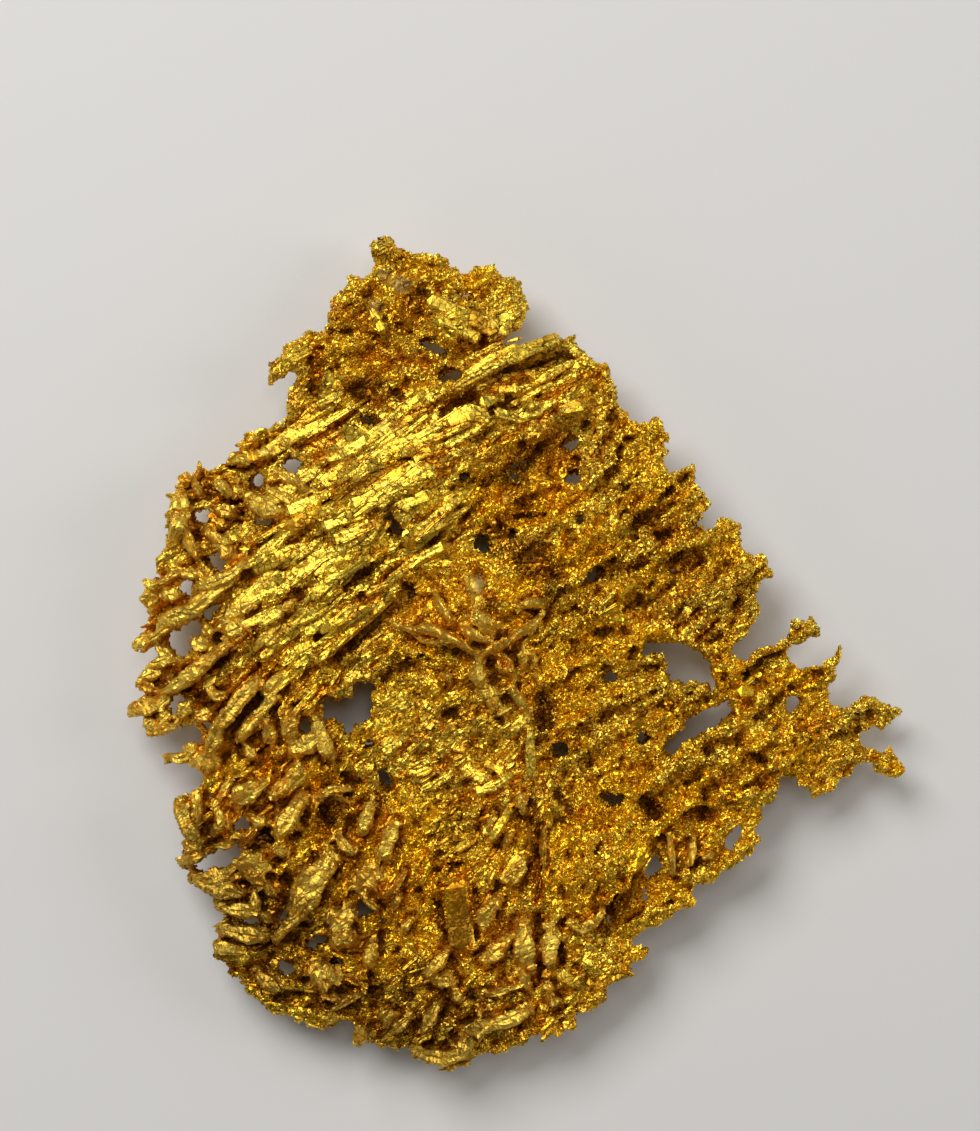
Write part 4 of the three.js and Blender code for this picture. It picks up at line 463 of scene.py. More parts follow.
# Broad rises and hollows of the sheet: x, y, length, width, degrees, height.
BROAD = [
    (-3.2, 16.0, 2.4, 2.0, 0, 0.35), (-6.6, 14.3, 2.6, 1.6, 0, -0.45), (-7.6, 12.9, 1.6, 1.2, -20, -0.4),
    (0.7, 9.4, 3.0, 1.3, 35, -0.5), (-1.0, 5.3, 2.2, 1.4, 30, -0.3), (0.8, 4.7, 2.0, 1.4, -20, -0.4),
    (-6.0, 0.2, 3.5, 1.2, 38, -0.2), (-5.0, 2.1, 2.0, 1.0, 35, -0.35), (1.4, -2.8, 1.8, 1.2, 90, -0.45),
    (6.9, 6.8, 2.6, 0.8, 45, -0.3), (-9.2, -8.3, 2.4, 1.6, -70, -0.35), (-6.4, -13.6, 2.6, 1.8, 60, -0.3),
    (-3.9, -6.9, 5.0, 4.0, 30, -0.15), (4.8, -10.0, 4.4, 3.6, 50, 0.35), (6.0, -12.9, 2.4, 1.0, 40, -0.3),
    (8.4, 4.3, 1.8, 1.0, 25, -0.3), (-2.0, 2.2, 3.6, 2.6, 0, 0.3), (-16.3, -7.9, 2.0, 1.5, -60, 0.2),
]

# Low satin ridges that wander over the hump: width, rise, course.
RIDGES = with_courses(2, [
    (0.42, 0.5, -6.0, 1.3, -5.0, 1.0, -4.6, 1.15, -4.0, 1.05, -3.5, 0.8, -2.9, 0.5, -2.5, 0.25, -2.1, 0.0),
    (0.4, 0.5, -2.1, 0.0, -1.6, -0.1, -1.1, 0.1, -0.5, 0.4, 0.0, 0.8, 0.5, 1.1, 1.2, 1.5),
    (0.3, 0.4, -5.1, 0.8, -4.6, 0.5, -3.9, 0.4, -3.2, 0.45, -2.7, 0.35),
    (0.5, 0.5, -2.6, 1.25, -2.2, 0.85, -1.7, 0.6, -1.3, 0.5),
    (0.4, 0.45, -4.0, 2.9, -3.8, 2.4, -3.5, 2.0, -3.2, 1.5),
    (0.5, 0.5, -1.9, 2.1, -1.7, 1.6, -1.3, 1.3, -0.8, 1.2), (0.36, 0.5, 0.35, 0.3, 0.4, -0.4, 0.35, -1.0),
    (0.32, 0.4, 0.85, 0.0, 0.9, -0.8), (0.34, 0.4, 0.7, 0.9, 0.9, 1.3, 1.4, 1.9),
    (0.34, 0.5, -1.0, -0.3, -0.6, -0.2, -0.3, -0.5, -0.2, -1.0, 0.1, -1.5),
    (0.3, 0.45, -0.9, -0.5, -0.8, -0.95, -0.3, -1.0), (0.34, 0.4, -1.5, -2.0, -1.3, -2.6, -1.1, -3.0),
    (0.34, 0.4, -1.1, -1.8, -0.9, -2.5, -0.5, -3.1), (0.7, 0.6, -1.8, -0.5, -1.9, -1.1, -1.7, -1.7),
    (0.44, 0.5, -0.2, -1.9, 0.2, -2.4, 0.6, -3.1), (0.8, 0.3, -2.3, 3.5, -2.0, 3.2, -1.9, 2.8),
    (0.3, 0.4, -3.7, -1.2, -3.3, -1.3, -3.3, -1.7), (0.34, 0.4, -2.4, 1.7, -1.9, 1.5, -1.5, 1.1, -1.1, 0.9),
    (0.5, 0.35, 0.2, 2.2, 0.8, 2.4, 1.4, 2.3),
])

# Round, smooth wires lying over the sheet: thickness, course.
WIRES = with_courses(1, [
    (0.34, -12.9, 10.1, -13.0, 10.6, -12.8, 11.0, -12.4, 11.0, -12.2, 10.6, -12.1, 10.1, -11.9, 9.7, -11.6,
     9.55, -11.4, 9.8), (0.3, -12.6, 10.3, -12.4, 10.0, -12.1, 9.9),
    (0.34, -14.3, 9.5, -13.9, 9.8, -13.3, 9.8, -13.0, 9.4),
    (0.2, 7.3, -9.4, 6.6, -10.4, 6.3, -11.0, 5.5, -12.0, 4.9, -12.6), (0.16, 8.2, 1.35, 8.5, 1.75, 8.9, 2.1),
    (0.18, 8.6, -1.5, 9.2, -1.8, 9.6, -2.2), (0.16, -0.4, 15.3, 0.3, 15.5),
])

# Slits too small for the solid: centre x, centre y, length, width, degrees.
SMALL_SLITS = [
    (6.15, -4.1, 1.0, 0.7, -50), (4.75, -7.3, 1.2, 0.75, -10), (3.7, 3.7, 1.5, 0.45, 30),
    (9.8, -1.85, 0.6, 0.5, 0), (12.9, -3.8, 1.1, 0.45, 20), (-6.2, 6.5, 1.7, 0.42, -74),
    (-3.25, 13.6, 1.3, 0.5, 8), (-2.3, 15.35, 0.7, 0.3, 15), (-5.7, 5.1, 0.7, 0.35, 20),
    (5.6, 9.8, 0.8, 0.3, 60), (3.95, 7.85, 0.7, 0.3, 45), (-16.95, 2.3, 0.9, 0.28, 5),
    (-16.2, -3.1, 0.8, 0.3, 80), (-13.75, -4.9, 0.7, 0.3, 70), (-6.6, -9.05, 0.6, 0.45, 0),
    (14.9, -2.3, 0.6, 0.3, 0), (11.4, -5.65, 0.8, 0.35, 20), (6.2, -5.9, 0.7, 0.3, 20),
    (4.7, -1.4, 0.7, 0.4, -30), (-7.5, 3.85, 2.4, 0.3, 37), (-6.3, 3.9, 2.5, 0.3, 33),
    (-5.3, 3.0, 2.1, 0.28, 43),
]

# Spots of pale clay: x, y, reach, strength.
CLAY_PATCHES = [
    (-5.7, 18.2, 0.5, 0.6), (-6.5, 18.7, 0.4, 0.4), (-1.8, 3.35, 0.35, 0.6), (-6.9, 17.2, 0.35, 0.4),
]

# Crevices cut while the skin is coarse, and those cut once it is fine.
DEEP_CREVICES = [row for row in CREVICES if row[0] >= 0.28]
FINE_CREVICES = [row for row in CREVICES if row[0] < 0.28]

# Soft lights: name, degrees from upright, degrees round, distance, width and height in metres, radiance.
LIGHTS = (
    ("key", 42, 125, 0.34, (0.20, 0.18), 7.0),
    ("right", 60, 8, 0.34, (0.14, 0.17), 3.0),
    ("low_left", 62, 215, 0.36, (0.17, 0.12), 1.0),
    ("overhead", 16, 80, 0.42, (0.13, 0.13), 3.0),
)
# What the camera sees from above: the middle of its view, and the longer side of it.
FRAME_CENTRE = (-1.275, 4.225, 2.6)
FRAME_HEIGHT = 56.55

# ---------- repeatable noise ----------


def hashed(cell, seed):
    """A repeatable number from 0 to 1 for each whole-number cell."""
    mask = np.uint64(0xFFFFFFFF)
    c = cell.astype(np.int64).astype(np.uint64)
    h = (c[..., 0] * np.uint64(374761393) + c[..., 1] * np.uint64(668265263)
         + c[..., 2] * np.uint64(2246822519) + np.uint64(seed) * np.uint64(3266489917)) & mask
    h = ((h ^ (h >> np.uint64(15))) * np.uint64(2246822519)) & mask
    h = ((h ^ (h >> np.uint64(13))) * np.uint64(3266489917)) & mask
    h = h ^ (h >> np.uint64(16))
    return h.astype(float) / 2.0 ** 32


def noise(points, seed):
    """Smooth noise from 0 to 1 with cells one unit wide."""
    cell = np.floor(points)
    f = points - cell
    w = f * f * f * (f * (f * 6 - 15) + 10)
    total = np.zeros(len(points))
    for corner in np.ndindex(2, 2, 2):
        c = np.array(corner, float)
        share = np.prod(np.where(c > 0, w, 1 - w), axis=1)
        total += share * hashed(cell + c, seed)
    return total


def fractal(points, seed, octaves=3):
    """Several octaves of noise, from 0 to 1."""
    total, size = np.zeros(len(points)), 0.0
    for i in range(octaves):
        total += noise(points * 2.03 ** i + 17.3 * i, seed + i) * 0.5 ** i
        size += 0.5 ** i
    return total / size


def cells(points, seed):
    """Jittered cells one unit wide, as each point meets them.

    Gives the distances to the nearest and the second centre, the offset from the nearest, and its cell.
    """
    base = np.floor(points)
    first = np.full(len(points), 9.0)
    second = np.full(len(points), 9.0)
    offset = np.zeros_like(points)
    owner = np.zeros_like(points)
    for step in np.ndindex(3, 3, 3):
        cell = base + np.array(step, float) - 1
        centre = cell + np.stack([hashed(cell, seed + k) for k in (1, 2, 3)], axis=1)
        away = points - centre
        d = np.sqrt((away ** 2).sum(axis=1))
        nearer = d < first
        second = np.where(nearer, first, np.minimum(second, d))
        first = np.where(nearer, d, first)
        offset[nearer] = away[nearer]
        owner[nearer] = cell[nearer]
    return first, second, offset, owner


def tilted(offset, owner, seed, tilt, step):
    """Heights of flat facets, one to a cell, each with its own tilt and its own level."""
    lean = np.stack([hashed(owner, seed + k) - 0.5 for k in (11, 12, 13)], axis=1)
    return 2 * tilt * (offset * lean).sum(axis=1) + step * (hashed(owner, seed + 14) - 0.5)


def facets(points, seed, tilt, step):
    """Heights of flat facets in jittered cells one unit wide."""
    _, _, offset, owner = cells(points, seed)
    return tilted(offset, owner, seed, tilt, step)


def plates(points, seed, tilt, step, crevice, roundness, gap):
    """Heights of facets parted by crevices. Each may be rounded."""
    first, second, offset, owner = cells(points, seed)
    flat = tilted(offset, owner, seed, tilt, step)
    open_gap = hashed(owner, seed + 15) * 0.7 + 0.3
    return flat - roundness * first ** 2 - crevice * open_gap * (1 - smoothstep(second - first, 0.0, gap))


def smoothstep(x, low, high):
    """0 below low, 1 above high, smooth between."""
    t = np.clip((x - low) / (high - low), 0, 1)
    return t * t * (3 - 2 * t)


def turned(x, y, angle):
    """x and y as seen from axes turned by an angle."""
    return x * math.cos(angle) + y * math.sin(angle), y * math.cos(angle) - x * math.sin(angle)


# ---------- growth zones ----------

ZONE_TABLE = np.array(list(ZONES.values()), float)
# Columns of the table.
ANGLE, LENGTH, WIDTH, STEP, CREVICE, ROUND, GRAIN, PITS, YELLOW, GLOSS = range(3, 13)
LEAST_SHARE = 0.01  # a zone with a smaller share of a point is left out there


def zone_weights(points):
    """Each point's share of each zone, as an array of points by zones."""
    wander = 1.2 * np.stack([noise(points / 1.7, 41), noise(points / 1.7, 42)], axis=1) - 0.6
    away = points[:, None, :2] + wander[:, None, :] - ZONE_TABLE[None, :, :2]
    score = -(away ** 2).sum(axis=2) / ZONE_TABLE[None, :, 2] ** 2
    share = np.exp(2.2 * (score - score.max(axis=1, keepdims=True)))
    return share / share.sum(axis=1, keepdims=True)


def zone_value(weights, column):
    """One column of the table at each point."""
    return weights @ ZONE_TABLE[:, column]


def rib_direction(weights):
    """Unit vectors along the ribs, in the plane of the sheet."""
    angles = np.radians(ZONE_TABLE[:, ANGLE])
    # Directions have no sense of which end is first, so the doubled angles are averaged.
    doubled = weights @ np.stack([np.cos(2 * angles), np.sin(2 * angles)], axis=1)
    a = np.arctan2(doubled[:, 1], doubled[:, 0]) / 2
    return np.stack([np.cos(a), np.sin(a), np.zeros(len(a))], axis=1)


def along_ribs(points, weights, pattern):
    """pattern(points turned so that x runs along the ribs, zone row), blended over the zones."""
    total = np.zeros(len(points))
    for k, row in enumerate(ZONE_TABLE):
        chosen = weights[:, k] > LEAST_SHARE
        if not chosen.any():
            continue
        p = points[chosen]
        x, y = turned(p[:, 0], p[:, 1], math.radians(row[ANGLE]))
        total[chosen] += weights[chosen, k] * pattern(np.stack([x, y, p[:, 2]], axis=1), row)
    return total


# ---------- meshes as arrays ----------


def mesh_from(name, points, faces):
    """A mesh of triangles from arrays in millimetres."""
    mesh = bpy.data.meshes.new(name)
    mesh.vertices.add(len(points))
    mesh.vertices.foreach_set("co", (points * MM).astype(np.float32).ravel())
    mesh.loops.add(3 * len(faces))
    mesh.loops.foreach_set("vertex_index", faces.astype(np.int32).ravel())
    mesh.polygons.add(len(faces))
    mesh.polygons.foreach_set("loop_start", np.arange(0, 3 * len(faces), 3, dtype=np.int32))
    mesh.update(calc_edges=True)
    return mesh


def arrays_of(mesh):
    """A mesh's points in millimetres and its triangles."""
    points = np.empty(3 * len(mesh.vertices), np.float32)
    mesh.vertices.foreach_get("co", points)
    mesh.calc_loop_triangles()
    faces = np.empty(3 * len(mesh.loop_triangles), np.int32)
    mesh.loop_triangles.foreach_get("vertices", faces)
    return points.reshape(-1, 3).astype(float) / MM, faces.reshape(-1, 3)


def normals_of(points, faces):
    """Unit normals at the points, weighted by area."""
    a, b, c = (points[faces[:, k]] for k in range(3))
    across = np.cross(b - a, c - a)
    total = np.zeros_like(points)
    for k in range(3):
        for axis in range(3):
            total[:, axis] += np.bincount(faces[:, k], across[:, axis], len(points))
    return total / np.maximum(np.linalg.norm(total, axis=1, keepdims=True), 1e-9)


def smoothed(values, faces, times, share=0.5):
    """The values relaxed towards their neighbours' mean. share may differ from point to point."""
    ends = np.concatenate([faces[:, [0, 1]], faces[:, [1, 2]], faces[:, [2, 0]]])
    count = np.maximum(np.bincount(ends[:, 0], minlength=len(values)), 1)
    flat = values.reshape(len(values), -1).copy()
    share = np.broadcast_to(share, len(values))
    for _ in range(times):
        for axis in range(flat.shape[1]):
            mean = np.bincount(ends[:, 0], flat[ends[:, 1], axis], len(values)) / count
            flat[:, axis] += share * (mean - flat[:, axis])
    return flat.reshape(values.shape)


def modified(shape, kind, settings, other=None):
    """A shape's arrays after one modifier, which may need another shape."""
    holders = []
    for points, faces in (shape,) if other is None else (shape, other):
        holder = bpy.data.objects.new("holder", mesh_from("holder", points / MM, faces))
        bpy.context.scene.collection.objects.link(holder)
        holders.append(holder)
    modifier = holders[0].modifiers.new("modifier", kind)
    for name, value in settings.items():
        setattr(modifier, name, value)
    if other is not None:
        modifier.object = holders[1]
    bpy.context.view_layer.update()
    made = bpy.data.meshes.new_from_object(holders[0].evaluated_get(bpy.context.evaluated_depsgraph_get()))
    points, faces = arrays_of(made)
    bpy.data.batch_remove([made, *(holder.data for holder in holders), *holders])
    return points * MM, faces


def remeshed(points, faces, size):
    """One closed even skin round all the shapes, with cells of the given size."""
    return modified((points, faces), "REMESH", {"mode": "VOXEL", "voxel_size": size})


def thinned(points, faces, wanted):
    """The shape with its flattest parts drawn in fewer triangles, down to the wanted number."""
    ratio = min(1.0, wanted / len(faces))
    return modified((points, faces), "DECIMATE", {"ratio": ratio, "use_collapse_triangulate": True})


def joined(shapes):
    """Several (points, faces) as one."""
    points, faces, start = [], [], 0
    for p, f in shapes:
        points.append(p)
        faces.append(f + start)
        start += len(p)
    return np.concatenate(points), np.concatenate(faces)


def tube_faces(start, rings, sides, inside_out=False):
    """Triangles between rings of points, one ring after another from the point numbered start."""
    faces = []
    for ring in range(rings - 1):
        for k in range(sides):
            a = start + ring * sides + k
            b = start + ring * sides + (k + 1) % sides
            if inside_out:
                faces += [(a, b, b + sides), (a, b + sides, a + sides)]
            else:
                faces += [(a, a + sides, b + sides), (a, b + sides, b)]
    return faces


def volumes(points, faces):
    """Six times the volume between each triangle and the origin, above 0 where it faces outwards."""
    a, b, c = (points[faces[:, k]] for k in range(3))
    return np.einsum("ij,ij->i", a, np.cross(b, c))


def set_attribute(mesh, name, values):
    """A number at each point of a mesh, for its material to read."""
    attribute = mesh.attributes.new(name, "FLOAT", "POINT")
    attribute.data.foreach_set("value", values.astype(np.float32))


# ---------- the body ----------


class Ground:
    """A shape to lay things on, or to hang them under."""

    def __init__(self, points, faces):
        self.tree = BVHTree.FromPolygons(points.tolist(), faces.tolist())

    def hit(self, x, y):
        """Where the shape is first met from above at x, y, or None over a hole."""
        return self.tree.ray_cast(Vector((x, y, HIGH_ABOVE)), Vector((0, 0, -1)))[0]

    def hit_from_below(self, x, y):
        """Where the shape is first met from below at x, y, or None under a hole."""
        return self.tree.ray_cast(Vector((x, y, FAR_BELOW)), Vector((0, 0, 1)))[0]

    def height(self, x, y):
        """The height of the upper face at x, y, or over a hole that of the nearest part."""
        hit = self.hit(x, y)
        if hit is None:
            hit = self.tree.find_nearest(Vector((x, y, 4)))[0]
        return hit.z


# Outlines of bars, from -1 to 1 across and upwards.
ROUND_SECTION = [(math.cos(a), math.sin(a)) for a in np.linspace(0, 2 * math.pi, 9)[:-1]]
PLATE_SECTION = [(1.0, -1.0), (1.0, 0.5), (0.78, 1.0), (-0.7, 0.95), (-1.0, 0.4), (-1.0, -1.0)]
LEAF_SECTION = [(1.0, -0.9), (1.02, 0.0), (0.86, 0.66), (0.55, 0.96), (0.22, 0.92), (-0.02, 0.7),
                (-0.26, 0.84), (-0.6, 1.0), (-0.9, 0.62), (-1.0, 0.0), (-1.0, -0.9), (0.0, -1.2)]
RIDGE_SECTION = [(1.0, -1.2), (0.9, -0.2), (0.6, 0.5), (0.25, 0.95), (-0.1, 0.9), (-0.4, 0.6), (-0.8, -0.1),
                 (-1.0, -1.2)]
SHEET_SECTION = [(1.0, -1.2), (1.0, 0.45), (0.84, 0.9), (0.4, 1.0), (-0.05, 0.94), (-0.5, 1.02), (-0.86, 0.9),
                 (-1.0, 0.4), (-1.0, -1.2)]
POINTEDNESS = 0.6  # how far a bar's tips reach past its ends, as a share of its half width
LEAF_STEP = 0.09  # between the stations along a leaf
PLATE_STEP = 0.14  # between the stations along a plate


def sweep(course, half_widths, half_heights, section, roll=0.0):
    """A closed bar along a course, with the section's size at each point and its roll in degrees."""
    course = np.array(course, float)
    ahead = np.gradient(course, axis=0)
    ahead /= np.linalg.norm(ahead, axis=1, keepdims=True)
    left = np.cross([0, 0, 1], ahead)
    left /= np.maximum(np.linalg.norm(left, axis=1, keepdims=True), 1e-6)
    up = np.cross(ahead, left)
    a = math.radians(roll)
    left, up = left * math.cos(a) - up * math.sin(a), up * math.cos(a) + left * math.sin(a)
    section = np.array(section)
    ring = (left[:, None, :] * (section[None, :, :1] * np.asarray(half_widths)[:, None, None])
            + up[:, None, :] * (section[None, :, 1:] * np.asarray(half_heights)[:, None, None]))
    n, sides = len(course), len(section)
    points = np.concatenate([(course[:, None, :] + ring).reshape(-1, 3),
                             course[:1] - ahead[:1] * half_widths[0] * POINTEDNESS,
                             course[-1:] + ahead[-1:] * half_widths[-1] * POINTEDNESS])
    faces = tube_faces(0, n, sides)
    for a in range(sides):
        b = (a + 1) % sides
        faces.append((n * sides, a, b))
        faces.append((n * sides + 1, (n - 1) * sides + b, (n - 1) * sides + a))
    faces = np.array(faces)
    outwards = volumes(points - points.mean(axis=0), faces).sum() > 0
    return points, faces if outwards else faces[:, ::-1]


def slit_prism(slit, index):
    """A pointed slot, tall enough to go through the sheet."""
    x, y, length, width, degrees = slit
    a = math.radians(degrees)
    rng = np.random.default_rng(700 + index)
    stations = np.array([(-0.5, 0), (-0.2, -0.48), (0.18, -0.5), (0.5, 0), (0.2, 0.48), (-0.24, 0.46)])
    stations = stations * [length, width] * rng.uniform(0.85, 1.15, (6, 1))
    flat = np.stack([x + stations[:, 0] * math.cos(a) - stations[:, 1] * math.sin(a),
                     y + stations[:, 0] * math.sin(a) + stations[:, 1] * math.cos(a)], axis=1)
    points = np.concatenate([np.c_[flat, np.full(6, z)] for z in (0.5, 9.0)])
    faces = tube_faces(0, 2, 6, inside_out=True)
    for k in range(1, 5):
        faces += [(0, k + 1, k), (6, 6 + k, 7 + k)]
    return points, np.array(faces)


def cut(points, faces, cutter):
    """The shape with the cutter's shape taken away."""
    result = modified((points, faces), "BOOLEAN", {"operation": "DIFFERENCE", "solver": "EXACT"}, cutter)
    if len(result[1]) < len(faces) // 2:
        raise RuntimeError("the small slits could not be cut")
    return result


def upon(ground, course, step):
    """A course laid on the ground: x, y, z at even steps, and how far along each is from 0 to 1."""
    course = np.array(course, float)
    reach = np.concatenate([[0], np.cumsum(np.linalg.norm(np.diff(course, axis=0), axis=1))])
    along = np.linspace(0, 1, 3 + int(reach[-1] / step))
    x = np.interp(along * reach[-1], reach, course[:, 0])
    y = np.interp(along * reach[-1], reach, course[:, 1])
    z = np.array([ground.height(a, b) for a, b in zip(x, y)])
    return np.stack([x, y, z], axis=1), along


def laid_fingers(ground):
    """The bars under the leaves and ridges, and the grainy mounds."""
    shapes = []
    for row in FINGERS + RIDGES + MOUNDS:
        width, rise, course = row
        share = 0.55 if row in MOUNDS else 0.4
        line, along = upon(ground, course, 0.5)
        line[:, 2] += rise * 0.5 - 0.1
        taper = 0.5 + 0.5 * np.sin(np.pi * (0.12 + 0.76 * along))
        heights = (0.2 + rise * 0.6) * (0.7 + 0.3 * taper)
        shapes.append(sweep(line, width * share * taper, heights, ROUND_SECTION))
    return shapes


def laid_plates(ground):
    """The bars under the flat bright plates."""
    shapes = []
    for width, rise, lean, course in PLATES:
        line, along = rested(ground, course, 0.7, 1)
        line[:, 2] += rise * 0.6 - 0.1
        taper = 0.7 + 0.3 * np.sin(np.pi * (0.1 + 0.8 * along))
        heights = np.full(len(line), 0.05 + rise * 0.5)
        shapes.append(sweep(line, width * 0.42 * taper, heights, PLATE_SECTION, lean))
    return shapes


def rested(ground, course, step, order):
    """A course laid on the ground with its height evened out to a low curve."""
    line, along = upon(ground, course, step)
    line[:, 2] = np.polyval(np.polyfit(along, line[:, 2], order), along)
    return line, along


def creased(points, course, seed, length, width, height):
    """The points with creases that run along the course."""
    (ax, ay), (bx, by) = course[0], course[-1]
    x, y = turned(points[:, 0], points[:, 1], math.atan2(by - ay, bx - ax))
    p = np.stack([x / length, y / width, points[:, 2] / 0.5], axis=1)
    out = points.copy()
    out[:, 2] += height * (fractal(p, seed, 2) - 0.5 + 0.5 * facets(p * 0.8, seed + 3, 1.0, 0.5))
    out[:, 0] += 0.5 * height * (noise(p * 1.3, seed + 5) - 0.5)
    out[:, 1] += 0.5 * height * (noise(p * 1.3, seed + 6) - 0.5)
    return out


def crisp_leaves(ground):
    """Crumpled leaves with rolled edges and a groove, over every finger and ridge."""
    shapes = []
    for i, (width, rise, course) in enumerate(FINGERS + RIDGES):
        rng = np.random.default_rng(900 + i)
        line, along = rested(ground, course, LEAF_STEP, 2 if len(course) > 2 else 1)
        if len(line) > 24:
            line[:, 2] = smooth_line(upon(ground, course, LEAF_STEP)[0], 12)[:, 2]
        sharp, blunt = rng.uniform(0.02, 0.08), rng.uniform(0.1, 0.16)
        taper = np.sin(np.pi * np.interp(along, (0, 0.5, 1), (sharp, 0.5, 1 - blunt))) ** 0.55
        waves = 0.16 * np.sin(along * rng.uniform(5, 9) + rng.uniform(0, 6))
        taper *= 1 + waves + rng.normal(0, 0.06, len(along))
        height = (0.15 + 0.12 * rise) * (0.55 + 0.45 * taper)
        lean = rng.normal(4, 13)
        if i < len(FINGERS):
            half, section, crease = 0.52, LEAF_SECTION, 0.15
        else:
            line[:, 2] -= 0.06
            half, section, crease = 0.62, RIDGE_SECTION, 0.2
        points, faces = sweep(line, width * half * taper, height, section, lean)
        shapes.append((creased(points, course, 100 + 9 * (i % 7), 0.36, crease, 0.13), faces))
    return shapes


def seeded_plates(seed, count):
    """Rows in the manner of PLATES, strewn along the ribs of the bright zones."""
    rng = np.random.default_rng(seed)
    tries = 9000
    spots = np.c_[rng.uniform(-19, 8, tries), rng.uniform(-20, 17, tries), np.full(tries, 3.0)]
    weights = zone_weights(spots)
    shine = zone_value(weights, YELLOW) * zone_value(weights, GLOSS)
    odds = np.clip(shine * 1.15, 0, 1) ** 3
    ways = rib_direction(weights)
    rows = []
    for k in np.flatnonzero(rng.uniform(0, 1, tries) < odds)[:count]:
        x, y = spots[k, :2]
        turn = rng.normal(0, 0.09)
        ahead = np.array([ways[k, 0] - ways[k, 1] * turn, ways[k, 1] + ways[k, 0] * turn])
        half = zone_value(weights[k:k + 1], LENGTH)[0] * rng.uniform(0.14, 0.36)
        bend = rng.normal(0, 0.05) * half
        width = rng.uniform(0.2, 0.8) * (0.6 + 0.4 * min(half, 1.0))
        rows.append((width, rng.uniform(0.0, 0.22), rng.uniform(1, 11), [
            (x - half * ahead[0], y - half * ahead[1]), (x - bend * ahead[1], y + bend * ahead[0]),
            (x + half * ahead[0], y + half * ahead[1])]))
    return rows


def clear_of_gaps(ground, course, width):
    """Whether a bar of this width lies wholly on the ground, off the holes and the deep crevices."""
    spots = upon(ground, course, 0.3)[0]
    way = spots[-1] - spots[0]
    side = np.array([-way[1], way[0], 0.0]) / np.hypot(way[0], way[1]) * width * 0.5
    tried = np.concatenate([spots, spots + side, spots - side])
    if strokes(tried, DEEP_CREVICES, 0.3).max() > 0.5:
        return False
    return all(ground.hit(x, y) for x, y, _ in tried)


def crisp_plates(ground, seeded):
    """Flat plates of bright gold with crisp edges."""
    shapes = []
    for i, (width, rise, lean, course) in enumerate(PLATES + seeded):
        rng = np.random.default_rng(1300 + i)
        if i < len(PLATES):
            line, along = rested(ground, course, PLATE_STEP, 1)
            line[:, 2] += 0.03
            shares = rng.permutation((0.6, 0.85, 1.1)) if width < 1.2 else (0.95, 1.0, 1.05)
            taper = np.interp(along, (0, rng.uniform(0.2, 0.8), 1), shares)
        elif clear_of_gaps(ground, course, width):
            line, along = rested(ground, course, PLATE_STEP, 2 + (width < 0.45))
            line[:, 2] += 0.03 + rise * 0.3
            ends = np.minimum(along, 1 - along) * 2 * (len(line) * PLATE_STEP)
            taper = 0.55 + 0.45 * smoothstep(ends, 0.0, rng.uniform(0.3, 1.0))
            taper = taper * (1 + 0.12 * np.sin(along * 7 + i))
        else:
            continue
        height = np.full(len(line), 0.10 + 0.1 * rise) * (0.6 + 0.4 * taper)
        points, faces = sweep(line, width * 0.5 * taper, height, SHEET_SECTION, lean)
        shapes.append((creased(points, course, 200 + 9 * (i % 7), 0.6, 0.35, 0.055), faces))
    return shapes


def laid_shingles(ground, sizes):
    """Seeded slabs that overlap along the growth direction, as the sheets of crystals do."""
    rng = np.random.default_rng(sizes.seed)
    lo, hi = CAD_BOUNDS
    spots = rng.uniform((lo.x / MM, lo.y / MM, 4), (hi.x / MM, hi.y / MM, 4), (3 * sizes.shingle_count, 3))
    weights = zone_weights(spots)
    draws = rng.uniform(0, 1, (len(spots), 6))
    turn = (draws[:, 0] - 0.5) * 0.3
    way = rib_direction(weights)
    ahead = np.stack([way[:, 0] * np.cos(turn) - way[:, 1] * np.sin(turn),
                      way[:, 1] * np.cos(turn) + way[:, 0] * np.sin(turn), np.zeros(len(turn))], axis=1)
    length = zone_value(weights, LENGTH) * (0.35 + 0.9 * draws[:, 1])
    width = zone_value(weights, WIDTH) * (0.3 + 0.45 * draws[:, 2])
    rise = zone_value(weights, STEP) * (0.1 + 0.9 * draws[:, 3])
    index, heights = [], []
    free = calmness(spots) < 0.3
    for i, spot in enumerate(spots):
        if len(index) == sizes.shingle_count:
            break
        across = np.array([-ahead[i][1], ahead[i][0], 0.0]) * width[i]
        hits = []
        for s, t in ((-1, 0), (0, 0), (1, 0), (0, -1), (0, 1)):
            end = spot + s * length[i] / 2 * ahead[i] + t * across
            hits.append(ground.hit(end[0], end[1]))
        if free[i] and all(hit is not None for hit in hits):
            index.append(i)
            heights.append([hit.z for hit in hits[:3]])
    heights = np.array(heights)
    slope = (heights[:, 2] - heights[:, 0]) / (0.9 * length[index])
    centre = np.c_[spots[index, :2], heights.mean(axis=1) + rise[index] * 0.45]
    forward = ahead[index] + np.c_[np.zeros((len(index), 2)), slope + 0.35 * (draws[index, 4] - 0.5)]
    forward /= np.linalg.norm(forward, axis=1, keepdims=True)
    up = leaning(np.tile((0.0, 0.0, 1.0), (len(index), 1)), 0.2, rng)
    size = np.stack([length[index] / 2, width[index] / 2, rise[index] * 0.5 + 0.14], axis=1)
    return placed(slab(), centre, forward, up, size, 0.14, rng)


